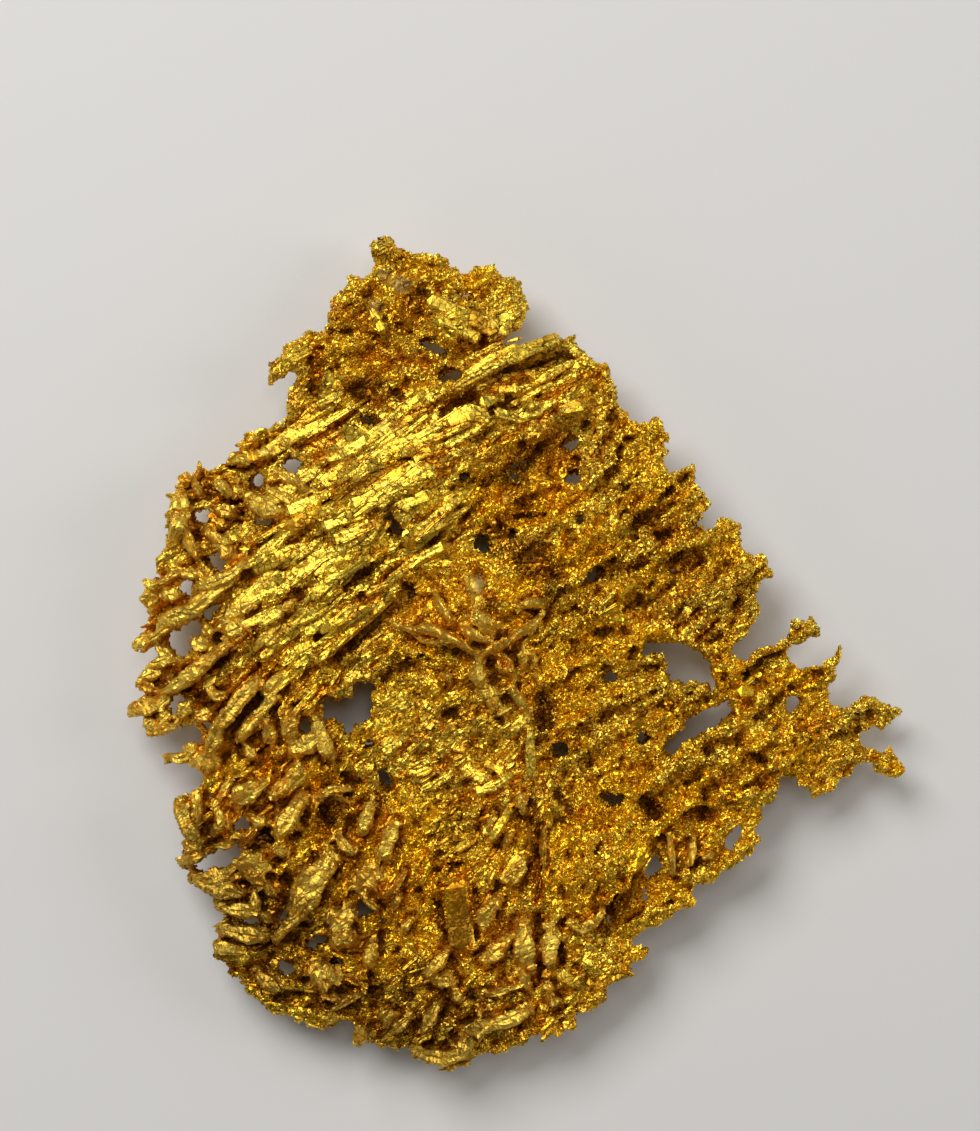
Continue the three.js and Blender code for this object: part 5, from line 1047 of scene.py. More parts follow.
def hanging_knobs(ground):
    """Ragged crystals that hang under the sheet, clear of the floor and longest beside its feet."""
    rng = np.random.default_rng(57)
    lo, hi = CAD_BOUNDS
    centres, sizes = [], []
    round_about = ((0, 0), (0.8, 0), (-0.8, 0), (0, 0.8), (0, -0.8))
    for x, y in rng.uniform((lo.x / MM, lo.y / MM), (hi.x / MM, hi.y / MM), (340, 2)):
        hits = [ground.hit_from_below(x + a, y + b) for a, b in round_about]
        if any(hit is None for hit in hits) or hits[0].z < 0.6:
            continue
        beside_foot = min(hit.z for hit in hits) < 0.4
        low = max(hits[0].z - rng.uniform(0.3, 1.0) - 0.5 * beside_foot, 0.2)
        half = (hits[0].z + 0.35 - low) / 2
        centres.append((x, y, low + half))
        sizes.append((rng.uniform(0.4, 1.0), rng.uniform(0.4, 0.8), half))
    count = len(centres)
    return placed(octahedron(), np.array(centres), leaning(np.tile((1.0, 0.3, 0.0), (count, 1)), 0.6, rng),
                  leaning(np.tile((0.0, 0.0, 1.0), (count, 1)), 0.15, rng), np.array(sizes), 0.2, rng)


def near(points, course, reach):
    """The indices of the points within reach of a course seen from above, and their distances from it."""
    course = np.array(course, float)
    low, high = course.min(axis=0) - reach, course.max(axis=0) + reach
    chosen = np.flatnonzero((points[:, 0] > low[0]) & (points[:, 0] < high[0])
                            & (points[:, 1] > low[1]) & (points[:, 1] < high[1]))
    p = points[chosen, :2]
    best = np.full(len(p), 99.0)
    for a, b in zip(course[:-1], course[1:]):
        t = np.clip((p - a) @ (b - a) / ((b - a) @ (b - a)), 0, 1)
        best = np.minimum(best, np.linalg.norm(p - a - t[:, None] * (b - a), axis=1))
    return chosen[best < reach], best[best < reach]


def patch(points, x, y, length, width, degrees):
    """1 in the middle of an oval patch, falling off to 0 outside it."""
    along, across = turned(points[:, 0] - x, points[:, 1] - y, math.radians(degrees))
    return np.exp(-4 * ((along / length) ** 2 + (across / width) ** 2))


def strongest_patch(points, table):
    """The strongest of the table's patches at each point."""
    return np.max([patch(points, *row) for row in table], axis=0)


def strokes(points, table, soft=0.5):
    """The strongest of the table's strokes at each point. A row is width, strength and course."""
    total = np.zeros(len(points))
    for width, strength, course in table:
        chosen, away = near(points, course, width * 0.75)
        shares = 1 - smoothstep(away / width, 0.5 - soft / 2, 0.5 + soft / 2)
        total[chosen] = np.maximum(total[chosen], strength * shares)
    return total


def widened(table, share, more, strength):
    """The table's rows as strokes of one strength, each a share of its width wide and some more."""
    return [(row[0] * share + more, strength, row[-1]) for row in table]


def satin(points):
    """1 on the smooth fingers and ridges, 0 elsewhere."""
    return np.maximum(strokes(points, widened(FINGERS, 1.05, 0, 1.0), 0.3),
                      strokes(points, widened(RIDGES, 1.05, 0, 0.9), 0.4))


def calmness(points):
    """1 on everything smooth, the flat plates and the windows as well, 0 on the ordinary grain."""
    flat = strokes(points, widened(PLATES, 0.95, 0, 1.0) + widened(SEEDED_PLATES, 0.9, 0, 0.75), 0.3)
    bare = 0.8 * smoothstep(strongest_patch(points, WINDOWS), 0.2, 0.6)
    return np.max([satin(points), flat, bare], axis=0)


def ditches(points):
    """1 in the narrow ditch round each finger and ridge, 0 elsewhere."""
    wide = strokes(points, widened(FINGERS, 1.05, 0.4, 1.0) + widened(RIDGES, 1, 0.4, 0.4), 0.3)
    return wide * (1 - calmness(points))


def broad_relief(points):
    """The height of the broad rises and hollows, in millimetres."""
    return sum(row[5] * patch(points, *row[:5]) for row in BROAD)


SEEDED_PLATES = seeded_plates(31, 300)


def laid_wires(ground):
    """The smooth wires over the middle and the loops on the left shoulder."""
    shapes = []
    for thick, course in WIRES:
        line, along = upon(ground, course, 0.14)
        line = smooth_line(line, 3)
        line[:, 2] += thick * 0.22
        swell = thick / 2 * (0.85 + 0.3 * np.sin(7 * along + thick * 20) ** 2)
        swell = swell * np.sin(np.pi * (0.08 + 0.84 * along)) ** 0.3
        shapes.append(sweep(line, swell, swell * 1.15, ROUND_SECTION))
    return shapes


def smooth_line(line, times):
    """A line of points with its corners rounded off between its ends."""
    for _ in range(times):
        line[1:-1] = (line[:-2] + line[1:-1] + line[2:]) / 3
    return line


def grown_body(sizes):
    """Points and triangles of the whole specimen, in millimetres."""
    points, faces = arrays_of(frame["nodes"][NODE].data)
    points, faces = cut(points, faces, joined([slit_prism(s, i) for i, s in enumerate(SMALL_SLITS)]))
    ground = Ground(points, faces)
    shapes = [(points, faces), *laid_fingers(ground), *laid_plates(ground), laid_shingles(ground, sizes),
              hanging_knobs(ground)]
    points, faces = remeshed(*joined(shapes), round(sizes.coarse_cell / MM, 4))
    points = ribbed(*rounded(points, faces), faces)
    points, faces = remeshed(points, faces, round(sizes.fine_cell / MM, 4))
    return thinned(grained(points, faces), faces, sizes.triangles)


def rounded(points, faces):
    """The points with the rim and the slits rounded a little, and how upright and how free each is."""
    normals = normals_of(points, faces)
    upright = 1 - smoothstep(np.abs(normals[:, 2]), 0.35, 0.8)
    standing = smoothstep(points[:, 2], 0.25, 0.8)
    points = smoothed(points, faces, 2, 0.3 * standing)
    return smoothed(points, faces, 3, 0.5 * upright * standing), upright, standing


def raised(points, normals, lift):
    """The points moved along their normals, and kept above the floor."""
    points = points + normals * lift[:, None]
    points[:, 2] = np.maximum(points[:, 2], 0)
    return points


def ribbed(points, upright, standing, faces):
    """The points raised into plates, crevices and pits along the growth direction."""
    weights = zone_weights(points)
    normals = smoothed(normals_of(points, faces), faces, 3)

    def plated(p, row):
        bend = 0.5 * row[WIDTH] * (noise(p / 2.6, 51) - 0.5)
        q = np.stack([p[:, 0] / row[LENGTH], (p[:, 1] + bend) / row[WIDTH], p[:, 2] / 1.6], axis=1)
        broad = plates(q, 52, row[STEP] * 0.7, row[STEP] * 0.6, row[CREVICE] * 1.3, row[ROUND] * 0.6, 0.28)
        q = q * (1.9, 2.1, 2.0) + 7.7
        fine = plates(q, 53, row[STEP] * 0.2, row[STEP] * 0.2, row[CREVICE] * 0.35, row[ROUND] * 0.1, 0.3)
        return broad + fine

    def waved(p, row):
        return 0.4 * (fractal(p / (3.5, 0.9, 1.5), 71, 2) - 0.5)

    def pitted(p, row):
        clump = smoothstep(noise(p / (2.4, 0.8, 2.0), 61), 0.45, 0.65)
        return -row[PITS] * 0.22 * clump * smoothstep(noise(p / (0.55, 0.3, 0.5), 62), 0.55, 0.72)

    calm = calmness(points)
    lift = along_ribs(points, weights, plated)
    lift += along_ribs(points, weights, waved)
    lift *= 1 - 0.92 * calm
    lift += along_ribs(points, weights, pitted) * (1 - calm)
    lift += broad_relief(points) - 1.15 * strokes(points, DEEP_CREVICES, 0.6)
    lift -= 0.35 * ditches(points)
    lift = np.maximum(lift, -0.9) * (1 - 0.6 * upright)
    # Knobs along the rim.
    lift += 0.7 * upright * (0.42 - cells(points / 0.85, 63)[0])
    return raised(points, normals, lift * standing)


def grained(points, faces):
    """The points raised into crystal facets, from small steps along the ribs to the sugary grain."""
    weights = zone_weights(points)
    grain = zone_value(weights, GRAIN)
    normals = smoothed(normals_of(points, faces), faces, 3)
    standing = smoothstep(points[:, 2], 0.12, 0.5)

    def stepped(p, row):
        return 0.06 * (0.3 + 0.7 * row[GLOSS]) * plates(p / (0.75, 0.38, 0.6), 81, 0.6, 0.30, 0.5, 0.0, 0.15)

    def foiled(p, row):
        return 0.14 * facets(p / (1.2, 0.4, 0.7), 88, 0.9, 0.5)

    calm = calmness(points)
    lift = along_ribs(points, weights, stepped) * (1 - 0.7 * calm)
    sugar = 0.8 * plates(points / 0.40, 82, 0.7, 0.5, 0.4, 0.5, 0.3)
    sugar = sugar + 0.7 * facets(points / 0.22, 83, 0.9, 0.6)
    lift += grain * (1 - 0.8 * calm) * sugar
    foil = (1 - smoothstep(grain, 0.04, 0.09)) * (1 - calm)
    lift += foil * along_ribs(points, weights, foiled)
    sponge = strongest_patch(points, SPONGES)
    lift -= 0.26 * sponge * (1 - calm) * smoothstep(noise(points / 0.21, 85), 0.5, 0.75)
    lift -= strokes(points, FINE_CREVICES, 0.7)
    lift += calm * (0.14 * facets(points / 0.42, 89, 0.9, 0.5) + 0.08 * (fractal(points / 0.45, 86, 2) - 0.5))
    lift += 0.02 * (hashed(np.round(points * 50), 84) - 0.5)
    below = 0.25 + 0.75 * smoothstep(normals[:, 2], -0.6, 0.0)
    return raised(points, normals, lift * standing * below)


def hollows_of(points, faces, normals):
    """How deep each point lies under its surroundings, from 0 on crests to 1 in crevices."""
    total = np.zeros(len(points))
    for times, reach in ((8, 0.10), (40, 0.22), (160, 0.42)):
        mean = smoothed(points, faces, times)
        total = np.maximum(total, ((mean - points) * normals).sum(axis=1) / reach)
    return np.clip(0.4 + 0.35 * total, 0, 1)


# ---------- loose shapes scattered as joined meshes ----------


def shape_arrays(points, faces):
    """A small shape round the origin as arrays, with every triangle facing outwards."""
    points, faces = np.array(points, float), np.array(faces)
    inwards = volumes(points, faces) < 0
    return points, np.where(inwards[:, None], faces[:, ::-1], faces)


def octahedron():
    """Eight equal faces, one unit from the middle to each tip."""
    points = [(1, 0, 0), (-1, 0, 0), (0, 1, 0), (0, -1, 0), (0, 0, 1), (0, 0, -1)]
    return shape_arrays(points, [(a, b, c) for a in (0, 1) for b in (2, 3) for c in (4, 5)])


def blade():
    """A bar with a roof-shaped section and slanted ends, one unit long each way."""
    points = [(-1, 0, -0.4), (1, 0, -0.4)]
    for x, s in ((-0.72, 0.8), (0.08, 1.0), (0.7, 0.75)):
        points += [(x, -s, -0.2), (x, -0.35 * s, s), (x, 0.45 * s, 0.85 * s), (x, s, -0.25), (x, 0, -s)]
    faces = tube_faces(2, 3, 5, inside_out=True)
    for k in range(5):
        faces += [(0, 2 + (k + 1) % 5, 2 + k), (1, 12 + k, 12 + (k + 1) % 5)]
    return shape_arrays(points, faces)


def slab():
    """A flat bar with bevelled long edges and slanted ends, one unit long each way."""
    points = []
    for x, s in ((-1.0, 0.45), (-0.72, 0.9), (0.6, 1.0), (1.0, 0.5)):
        for side, height in ((-1, -0.5), (-1, 0.45), (-0.55, 1.0), (0.6, 0.9), (1, 0.3), (1, -0.5)):
            points.append((x, side * s, height))
    faces = tube_faces(0, 4, 6, inside_out=True)
    for k in range(1, 5):
        faces += [(0, k, k + 1), (18, 19 + k, 18 + k)]
    return shape_arrays(points, faces)


# The way most of the large crystal faces look.
COMMON_FACE = np.array([-0.19, 0.29, 0.94])


def chip():
    """A low pyramid on a four-sided foot, one unit long each way."""
    points = [(-1, -0.8, -0.7), (0.9, -1, -0.7), (1, 0.9, -0.7), (-0.9, 1, -0.7), (0.15, -0.1, 1)]
    faces = [(0, 1, 4), (1, 2, 4), (2, 3, 4), (3, 0, 4), (0, 2, 1), (0, 3, 2)]
    return shape_arrays(points, faces)


def flake():
    """A thin plate with an uneven six-sided rim and a low crown."""
    points = [(0.1, -0.05, 0.5), (-0.05, 0.1, -0.5)]
    for k, r in enumerate((1.0, 0.8, 0.95, 1.0, 0.75, 0.9)):
        a = k * math.pi / 3
        points.append((r * math.cos(a), r * math.sin(a), 0.1 if k % 2 else -0.1))
    faces = []
    for k in range(6):
        a, b = 2 + k, 2 + (k + 1) % 6
        faces += [(0, a, b), (1, b, a)]
    return shape_arrays(points, faces)


def scatter(body, rng, chance, count):
    """Random spots on the body, likelier where chance says: points, normals, zone weights, hollowness."""
    points, faces, normals, hollow = body
    corners = points[faces]
    area = np.linalg.norm(np.cross(corners[:, 1] - corners[:, 0], corners[:, 2] - corners[:, 0]), axis=1)
    middle = corners.mean(axis=1)
    facing = normals[faces].mean(axis=1)
    weights = zone_weights(middle)
    odds = area * np.clip(chance(middle, facing, weights), 0, 1)
    chosen = rng.choice(len(faces), count, p=odds / odds.sum())
    shares = rng.dirichlet((1, 1, 1), count)
    spots = (corners[chosen] * shares[:, :, None]).sum(axis=1)
    up = facing[chosen]
    up = up / np.maximum(np.linalg.norm(up, axis=1, keepdims=True), 1e-9)
    return spots, up, weights[chosen], hollow[faces[chosen]].mean(axis=1)


def placed(shape, spots, ahead, up, sizes, ragged, rng):
    """One copy of the shape at each spot, its x along ahead and its z along up, as one mesh's arrays."""
    points, faces = shape
    side = np.cross(up, ahead)
    side /= np.maximum(np.linalg.norm(side, axis=1, keepdims=True), 1e-9)
    ahead = np.cross(side, up)
    local = points[None] * sizes[:, None, :]
    local = local * rng.uniform(1 - ragged, 1 + ragged, (len(spots), len(points), 1))
    world = (local[:, :, 0:1] * ahead[:, None] + local[:, :, 1:2] * side[:, None]
             + local[:, :, 2:3] * up[:, None] + spots[:, None])
    shift = np.arange(len(spots))[:, None, None] * len(points)
    return world.reshape(-1, 3), (faces[None] + shift).reshape(-1, 3)


def leaning(vectors, amount, rng):
    """Unit vectors turned a random way by up to about amount."""
    out = vectors + rng.normal(0, amount, vectors.shape)
    return out / np.linalg.norm(out, axis=1, keepdims=True)


def random_ways(count, rng):
    """Unit vectors in every direction."""
    return leaning(rng.normal(0, 1, (count, 3)), 0.01, rng)


# ---------- shader nodes ----------


class Value:
    """A number socket with arithmetic: each operator adds one Math node."""

    def __init__(self, nodes, socket):
        self.nodes = nodes
        self.socket = socket

    def math(self, operation, first, second):
        """The result of one Math node."""
        node = self.nodes.add("ShaderNodeMath", {"operation": operation}, {0: first, 1: second})
        return Value(self.nodes, node.outputs[0])

    def __add__(self, other):
        return self.math("ADD", self, other)

    def __radd__(self, other):
        return self.math("ADD", other, self)

    def __sub__(self, other):
        return self.math("SUBTRACT", self, other)

    def __rsub__(self, other):
        return self.math("SUBTRACT", other, self)

    def __mul__(self, other):
        return self.math("MULTIPLY", self, other)

    def __rmul__(self, other):
        return self.math("MULTIPLY", other, self)

    def clamped(self):
        """Kept between 0 and 1."""
        return Value(self.nodes, self.nodes.add("ShaderNodeClamp", {}, {"Value": self}).outputs[0])

    def ramp(self, low, high):
        """0 below low, 1 above high, smooth between."""
        node = self.nodes.add("ShaderNodeMapRange", {"interpolation_type": "SMOOTHSTEP"},
                              {"Value": self, "From Min": low, "From Max": high})
        return Value(self.nodes, node.outputs[0])


class Nodes:
    """A material's node tree."""

    def __init__(self, material):
        material.use_nodes = True
        self.tree = material.node_tree
        self.tree.nodes.clear()

    def add(self, kind, settings, values):
        """A node of a kind, with its settings made first and then its sockets filled or linked."""
        node = self.tree.nodes.new(kind)
        for name, setting in settings.items():
            setattr(node, name, setting)
        for name, value in values.items():
            if isinstance(value, Value):
                value = value.socket
            if isinstance(value, bpy.types.NodeSocket):
                self.tree.links.new(value, node.inputs[name])
            else:
                node.inputs[name].default_value = value
        return node

    def attribute(self, name):
        """A number kept at the mesh's points."""
        return Value(self, self.add("ShaderNodeAttribute", {"attribute_name": name}, {}).outputs["Fac"])

    def noise_node(self, place, scale, detail):
        """Noise as a node, for its colour or its number."""
        return self.add("ShaderNodeTexNoise", {}, {"Vector": place, "Scale": scale, "Detail": detail})

    def noise(self, place, scale, detail):
        """Smooth noise from 0 to 1."""
        return Value(self, self.noise_node(place, scale, detail).outputs["Fac"])

    def mix(self, factor, first, second):
        """A colour mixed from two."""
        return self.add("ShaderNodeMix", {"data_type": "RGBA"}, {0: factor, 6: first, 7: second}).outputs[2]

    def vector(self, operation, *values):
        """A vector worked out from others by one Vector Math node."""
        node = self.add("ShaderNodeVectorMath", {"operation": operation}, dict(enumerate(values)))
        return node.outputs["Vector"]

    def scaled(self, vector, factor):
        """A vector made longer or shorter."""
        node = self.add("ShaderNodeVectorMath", {"operation": "SCALE"}, {"Vector": vector, "Scale": factor})
        return node.outputs["Vector"]

    def finish(self, shader):
        """Ends the tree in one Principled shader."""
        shader = self.add("ShaderNodeBsdfPrincipled", {}, shader)
        self.add("ShaderNodeOutputMaterial", {}, {"Surface": shader.outputs["BSDF"]})


def gold_material(name, colours, sparkle):
    """Native gold: yellow to amber, with orange spots of its own, painted shade and bounce light in its
    hollows, and fine crystal faces that catch the light.
    """
    material = bpy.data.materials.new(name)
    nodes = Nodes(material)
    place = nodes.add("ShaderNodeTexCoord", {}, {}).outputs["Object"]
    hollow = nodes.attribute("hollow")
    yellow = nodes.attribute("yellow")
    gloss = nodes.attribute("gloss")
    satin_part = nodes.attribute("satin")

    # From amber to yellow, paler on the smooth fingers. Painted light: the hollows are turned amber and mixed
    # towards orange-brown, standing in for light bounced between gold faces; the listed orange spots are the
    # gold's own.
    drift = nodes.noise(place, 900.0, 3.0)
    speck = nodes.noise(place, 5200.0, 2.0)
    patches = nodes.noise(place, 380.0, 2.0)
    warmth = (yellow + (patches - 0.5) * 1.6 + (drift - 0.5) * 0.9 + (speck - 0.5) * 0.7
              + (0.4 - hollow) * 1.2).clamped()
    colour = nodes.mix(warmth, (*colours.amber, 1), (*colours.bright, 1))
    colour = nodes.mix(satin_part * 0.85, colour, (*colours.satin, 1))
    rust_and_shade = (hollow.ramp(0.45, 0.75) * 0.6 + nodes.attribute("stain_and_shade") * (0.35 + hollow)).clamped()
    colour = nodes.mix(rust_and_shade, colour, (*colours.stain_and_shade, 1))

    # Painted shade: dark brown in the hollows, in the shaded patches, in fine specks that stand for pits
    # between crystals, and along the edges of the small facets of the flat plates.
    painted_shade = nodes.noise(place, 11000.0, 2.0).ramp(0.54, 0.66) * 0.65
    wander = nodes.noise_node(place, 2500.0, 1.0).outputs["Color"]
    bent = nodes.vector("ADD", place, nodes.scaled(wander, 0.0004))
    edges = nodes.add("ShaderNodeTexVoronoi", {"feature": "DISTANCE_TO_EDGE"},
                      {"Vector": bent, "Scale": 2400.0}).outputs["Distance"]
    crack_shade = (1 - Value(nodes, edges).ramp(0.0, 0.09)) * drift.ramp(0.32, 0.5)
    dark = (hollow.ramp(0.58, 0.98) * 0.9 + nodes.attribute("shade") * (0.3 + hollow * 0.8)
            + painted_shade * (1 - gloss * 0.45) + crack_shade * yellow * (1 - satin_part * 0.4)).clamped()
    colour = nodes.mix(dark, colour, (*colours.painted_shade, 1))
    veil = (nodes.attribute("clay") * speck.ramp(0.2, 0.5)).clamped()
    colour = nodes.mix(veil, colour, (*colours.clay, 1))

    rough = (0.33 + yellow * 0.04 + satin_part * 0.09 + gloss * 0.05 + (speck - 0.5) * 0.2
             + hollow.ramp(0.4, 1.0) * 0.2 + veil * 0.4).clamped()

    # Each cell leans its own way, as a crystal face does.
    normal = nodes.add("ShaderNodeNewGeometry", {}, {}).outputs["Normal"]
    for scale, weight in ((6800.0, 1.0), (15000.0, 1.1)):
        cell = nodes.add("ShaderNodeTexVoronoi", {"feature": "F1"}, {"Vector": place, "Scale": scale})
        lean = nodes.vector("SUBTRACT", cell.outputs["Color"], (0.5, 0.5, 0.5))
        normal = nodes.vector("ADD", normal, nodes.scaled(lean, (1.15 - gloss * 0.85) * (weight * sparkle)))
    normal = nodes.vector("NORMALIZE", normal)

    nodes.finish({"Base Color": colour, "Metallic": 1 - veil * 0.9, "Roughness": rough, "Normal": normal})
    return material


def plain_material(name, colour, roughness):
    """One colour all over, for the floor."""
    material = bpy.data.materials.new(name)
    Nodes(material).finish({"Base Color": (*colour, 1), "Roughness": roughness})
    return material


def cell_size(name, description, millimetres):
    """A small length that a user can change."""
    default = millimetres * MM
    return FloatProperty(name=name, description=description, unit="LENGTH", precision=6, default=default)


def count_of(name, description, default):
    """A number of crystals that a user can change."""
    return IntProperty(name=name, description=description, default=default, min=1)


def colour_of(name, description, default):
    """A colour that a user can change."""
    return FloatVectorProperty(name=name, description=description, subtype="COLOR", size=3, default=default)


# ---------- settings ----------


class GoldSizes(bpy.types.PropertyGroup):
    """Sizes and counts of the crystals."""

    coarse_cell: cell_size("Coarse cell", "Cell of the skin that the plates are worked in", 0.16)
    fine_cell: cell_size("Fine cell", "Cell of the finished skin", 0.125)
    triangles: count_of("Triangles", "Triangles in the finished sheet", 190000)
    shingle_count: count_of("Shingles", "Seeded slabs laid along the growth direction", 160)
    blade_count: count_of("Blades", "Long crystals on the ribs", 900)
    grain_count: count_of("Grains", "Blocky crystals of the sugary parts", 7000)
    crust_count: count_of("Crust", "Tiny crystals in each half of the crust", 28000)
    flake_count: count_of("Flakes", "Thin bright plates", 2500)
    seed: IntProperty(name="Seed", description="Start of the random draws", default=5)


class GoldColours(bpy.types.PropertyGroup):
    """Colours of the gold, of what lies on it, and of the painted shade in its hollows."""

    bright: colour_of("Bright gold", "Clean yellow faces", (1.0, 0.72, 0.08))
    amber: colour_of("Amber gold", "Warmer, finer-grained parts", (0.97, 0.575, 0.016))
    # Orange-brown of the gold's own spots, also painted into the hollows and into the ditches round the
    # fingers as shade.
    stain_and_shade: colour_of("Stain", "Rust-brown film in the hollows", (0.70, 0.26, 0.008))
    clay: colour_of("Clay", "Pale clay left on the gold", (0.34, 0.24, 0.12))
    satin: colour_of("Satin gold", "Smooth fingers and ridges", (0.92, 0.65, 0.10))
    # Painted shade: the dark brown mixed into the hollows, the shaded patches, the specks and the facet
    # edges.
    painted_shade: colour_of("Painted shade", "Dark brown in the deepest hollows", (0.20, 0.075, 0.006))


class StageSettings(bpy.types.PropertyGroup):
    """The floor, lights and camera."""

    floor_colour: colour_of("Floor", "Colour of the pale floor", (0.82, 0.81, 0.79))
    light: FloatProperty(name="Light", description="Brightness of the soft lights", default=1.0, min=0.0)
    lens: FloatProperty(name="Lens", description="Focal length", default=100.0, unit="CAMERA")


# ---------- operators ----------

finished = []


def finished_body(context):
    """The grown body's points, triangles, normals and hollowness, worked out once."""
    if not finished:
        points, faces = grown_body(context.scene.gold_sizes)
        normals = normals_of(points, faces)
        finished.extend((points, faces, normals, hollows_of(points, faces, normals)))
    return finished


def show(context, name, points, faces, yellow, gloss, hollow, sparkle, bare=False):
    """Adds a finished piece of gold to the scene. A bare piece is satin-smooth all over."""
    points = np.c_[points[:, :2], np.maximum(points[:, 2], 0.0)]
    mesh = mesh_from(name, points, faces)
    mesh.polygons.foreach_set("use_smooth", np.zeros(len(faces), bool))
    clay = np.zeros(len(points))
    for x, y, reach, strength in CLAY_PATCHES:
        away = np.hypot(points[:, 0] - x, points[:, 1] - y) + 0.3 * (noise(points / 0.3, 95) - 0.5)
        clay = np.maximum(clay, strength * (1 - smoothstep(away, 0.6 * reach, 1.2 * reach)))
    shade = np.max([row[5] * smoothstep(patch(points, *row[:5]), 0.05, 0.6) for row in SHADES], axis=0)

    def streaked(p, row):
        return row[GLOSS] * smoothstep(noise(p / (2.2, 0.3, 0.8), 97), 0.6, 0.72)

    streaks = along_ribs(points, zone_weights(points), streaked)
    # Painted shade: orange-brown in the narrow ditch round each finger and ridge, broken up by noise.
    ditch_shade = 0.8 * ditches(points) * smoothstep(noise(points / 0.9, 96), 0.2, 0.5)
    stain_and_shade = np.maximum.reduce([strokes(points, STAINS, 0.8), ditch_shade, streaks]) * (0.8 if bare else 1.0)
    pale = strokes(points, PALE_STRIPS, 0.8)
    calm = np.ones(len(points)) if bare else calmness(points)
    values = {
        "yellow": np.minimum(yellow + pale * 0.9, 1),
        "gloss": np.maximum(np.maximum(gloss, pale * 0.7) * 0.6, calm),
        "hollow": hollow,
        "clay": clay,
        "stain_and_shade": stain_and_shade,
        "shade": shade,
        "satin": calm if bare else satin(points),
    }
    for attribute, numbers in values.items():
        set_attribute(mesh, attribute, numbers)
    mesh.materials.append(gold_material(name, context.scene.gold_colours, sparkle))
    piece = bpy.data.objects.new(name, mesh)
    context.scene.collection.objects.link(piece)
    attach(piece, "root")
    return piece


def laid_on_body(context, laid, *more):
    """What a function lays on the finished body, as one mesh's arrays."""
    points, faces, _, _ = finished_body(context)
    return joined(laid(Ground(points, faces), *more))


def strewn(context, name, shape, series, count, chance, arranged, lift, ragged, drift, sparkle):
    """Adds one kind of small crystal, strewn over the body with its own series of random draws.

    chance(points, normals, weights) says how likely each place is, from 0 to 1.
    arranged(rng, up, weights, yellow, gloss) gives each crystal's way ahead, way up and size.
    lift raises the crystals, and drift is the mean and the spread of what their yellowness gains.
    """
    rng = np.random.default_rng(context.scene.gold_sizes.seed + series)
    spots, up, weights, hollow = scatter(finished_body(context), rng, chance, count)
    yellow, gloss = zone_value(weights, YELLOW), zone_value(weights, GLOSS)
    ahead, up, size = arranged(rng, up, weights, yellow, gloss)
    points, faces = placed(shape, spots + up * lift, ahead, up, size, ragged, rng)
    tone = np.clip(yellow + rng.normal(*drift, count), 0, 1)
    each = len(points) // count
    show(context, name, points, faces, *(np.repeat(v, each) for v in (tone, gloss, hollow)), sparkle)


class GOLD_OT_body(bpy.types.Operator):
    """Grow the ribbed sheet on its solid"""

    bl_idname = "gold.body"
    bl_label = "Sheet and Ribs"

    def execute(self, context):
        points, faces, _, hollow = finished_body(context)
        weights = zone_weights(points)
        yellow, gloss = zone_value(weights, YELLOW), zone_value(weights, GLOSS)
        piece = show(context, "gold_sheet", points, faces, yellow, gloss, hollow, 0.5)
        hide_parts(NODE)
        return {"FINISHED"}


class GOLD_OT_wires(bpy.types.Operator):
    """Lay the smooth wires over the sheet"""

    bl_idname = "gold.wires"
    bl_label = "Wires"

    def execute(self, context):
        points, faces = laid_on_body(context, laid_wires)
        bumps = 0.1 * (fractal(points / 0.35, 91, 2) - 0.5)
        points = points + normals_of(points, faces) * bumps[:, None]
        ones = np.ones(len(points))
        show(context, "gold_wires", points, faces, ones * 0.8, ones, ones * 0.2, 0.15)
        return {"FINISHED"}


class GOLD_OT_leaves(bpy.types.Operator):
    """Lay crumpled leaves over the fingers and ridges"""

    bl_idname = "gold.leaves"
    bl_label = "Leaves"

    def execute(self, context):
        points, faces = laid_on_body(context, crisp_leaves)
        yellow = zone_value(zone_weights(points), YELLOW)
        tone = np.clip(0.25 + 0.75 * yellow + 0.4 * (noise(points / 0.8, 92) - 0.5), 0, 1)
        ones = np.ones(len(points))
        show(context, "gold_leaves", points, faces, tone, ones, ones * 0.38, 0.35, bare=True)
        return {"FINISHED"}


class GOLD_OT_plates(bpy.types.Operator):
    """Lay flat bright plates along the ribs"""

    bl_idname = "gold.plates"
    bl_label = "Plates"

    def execute(self, context):
        points, faces = laid_on_body(context, crisp_plates, SEEDED_PLATES)
        weights = zone_weights(points)
        tone = np.clip(zone_value(weights, YELLOW) + 0.3 * (noise(points / 1.1, 93) - 0.5), 0, 1)
        hollow = np.full(len(points), 0.38)
        show(context, "gold_plates", points, faces, tone, zone_value(weights, GLOSS), hollow, 0.45)
        return {"FINISHED"}


class GOLD_OT_blades(bpy.types.Operator):
    """Lay long crystals along the ribs"""

    bl_idname = "gold.blades"
    bl_label = "Blades"

    def execute(self, context):
        def chance(points, normals, weights):
            return zone_value(weights, GLOSS) * smoothstep(normals[:, 2], 0.45, 0.8) * (1 - calmness(points))

        def arranged(rng, up, weights, yellow, gloss):
            ahead = leaning(rib_direction(weights), 0.16, rng)
            length = rng.uniform(0.2, 0.6, len(up)) * (0.6 + 0.6 * gloss)
            width = rng.uniform(0.06, 0.17, len(up))
            size = np.stack([length, width, width * rng.uniform(0.5, 0.9, len(up))], axis=1)
            return ahead, leaning(up, 0.16, rng), size

        count = context.scene.gold_sizes.blade_count
        strewn(context, "gold_blades", blade(), 1, count, chance, arranged, 0.0, 0.16, (0, 0.15), 0.35)
        return {"FINISHED"}


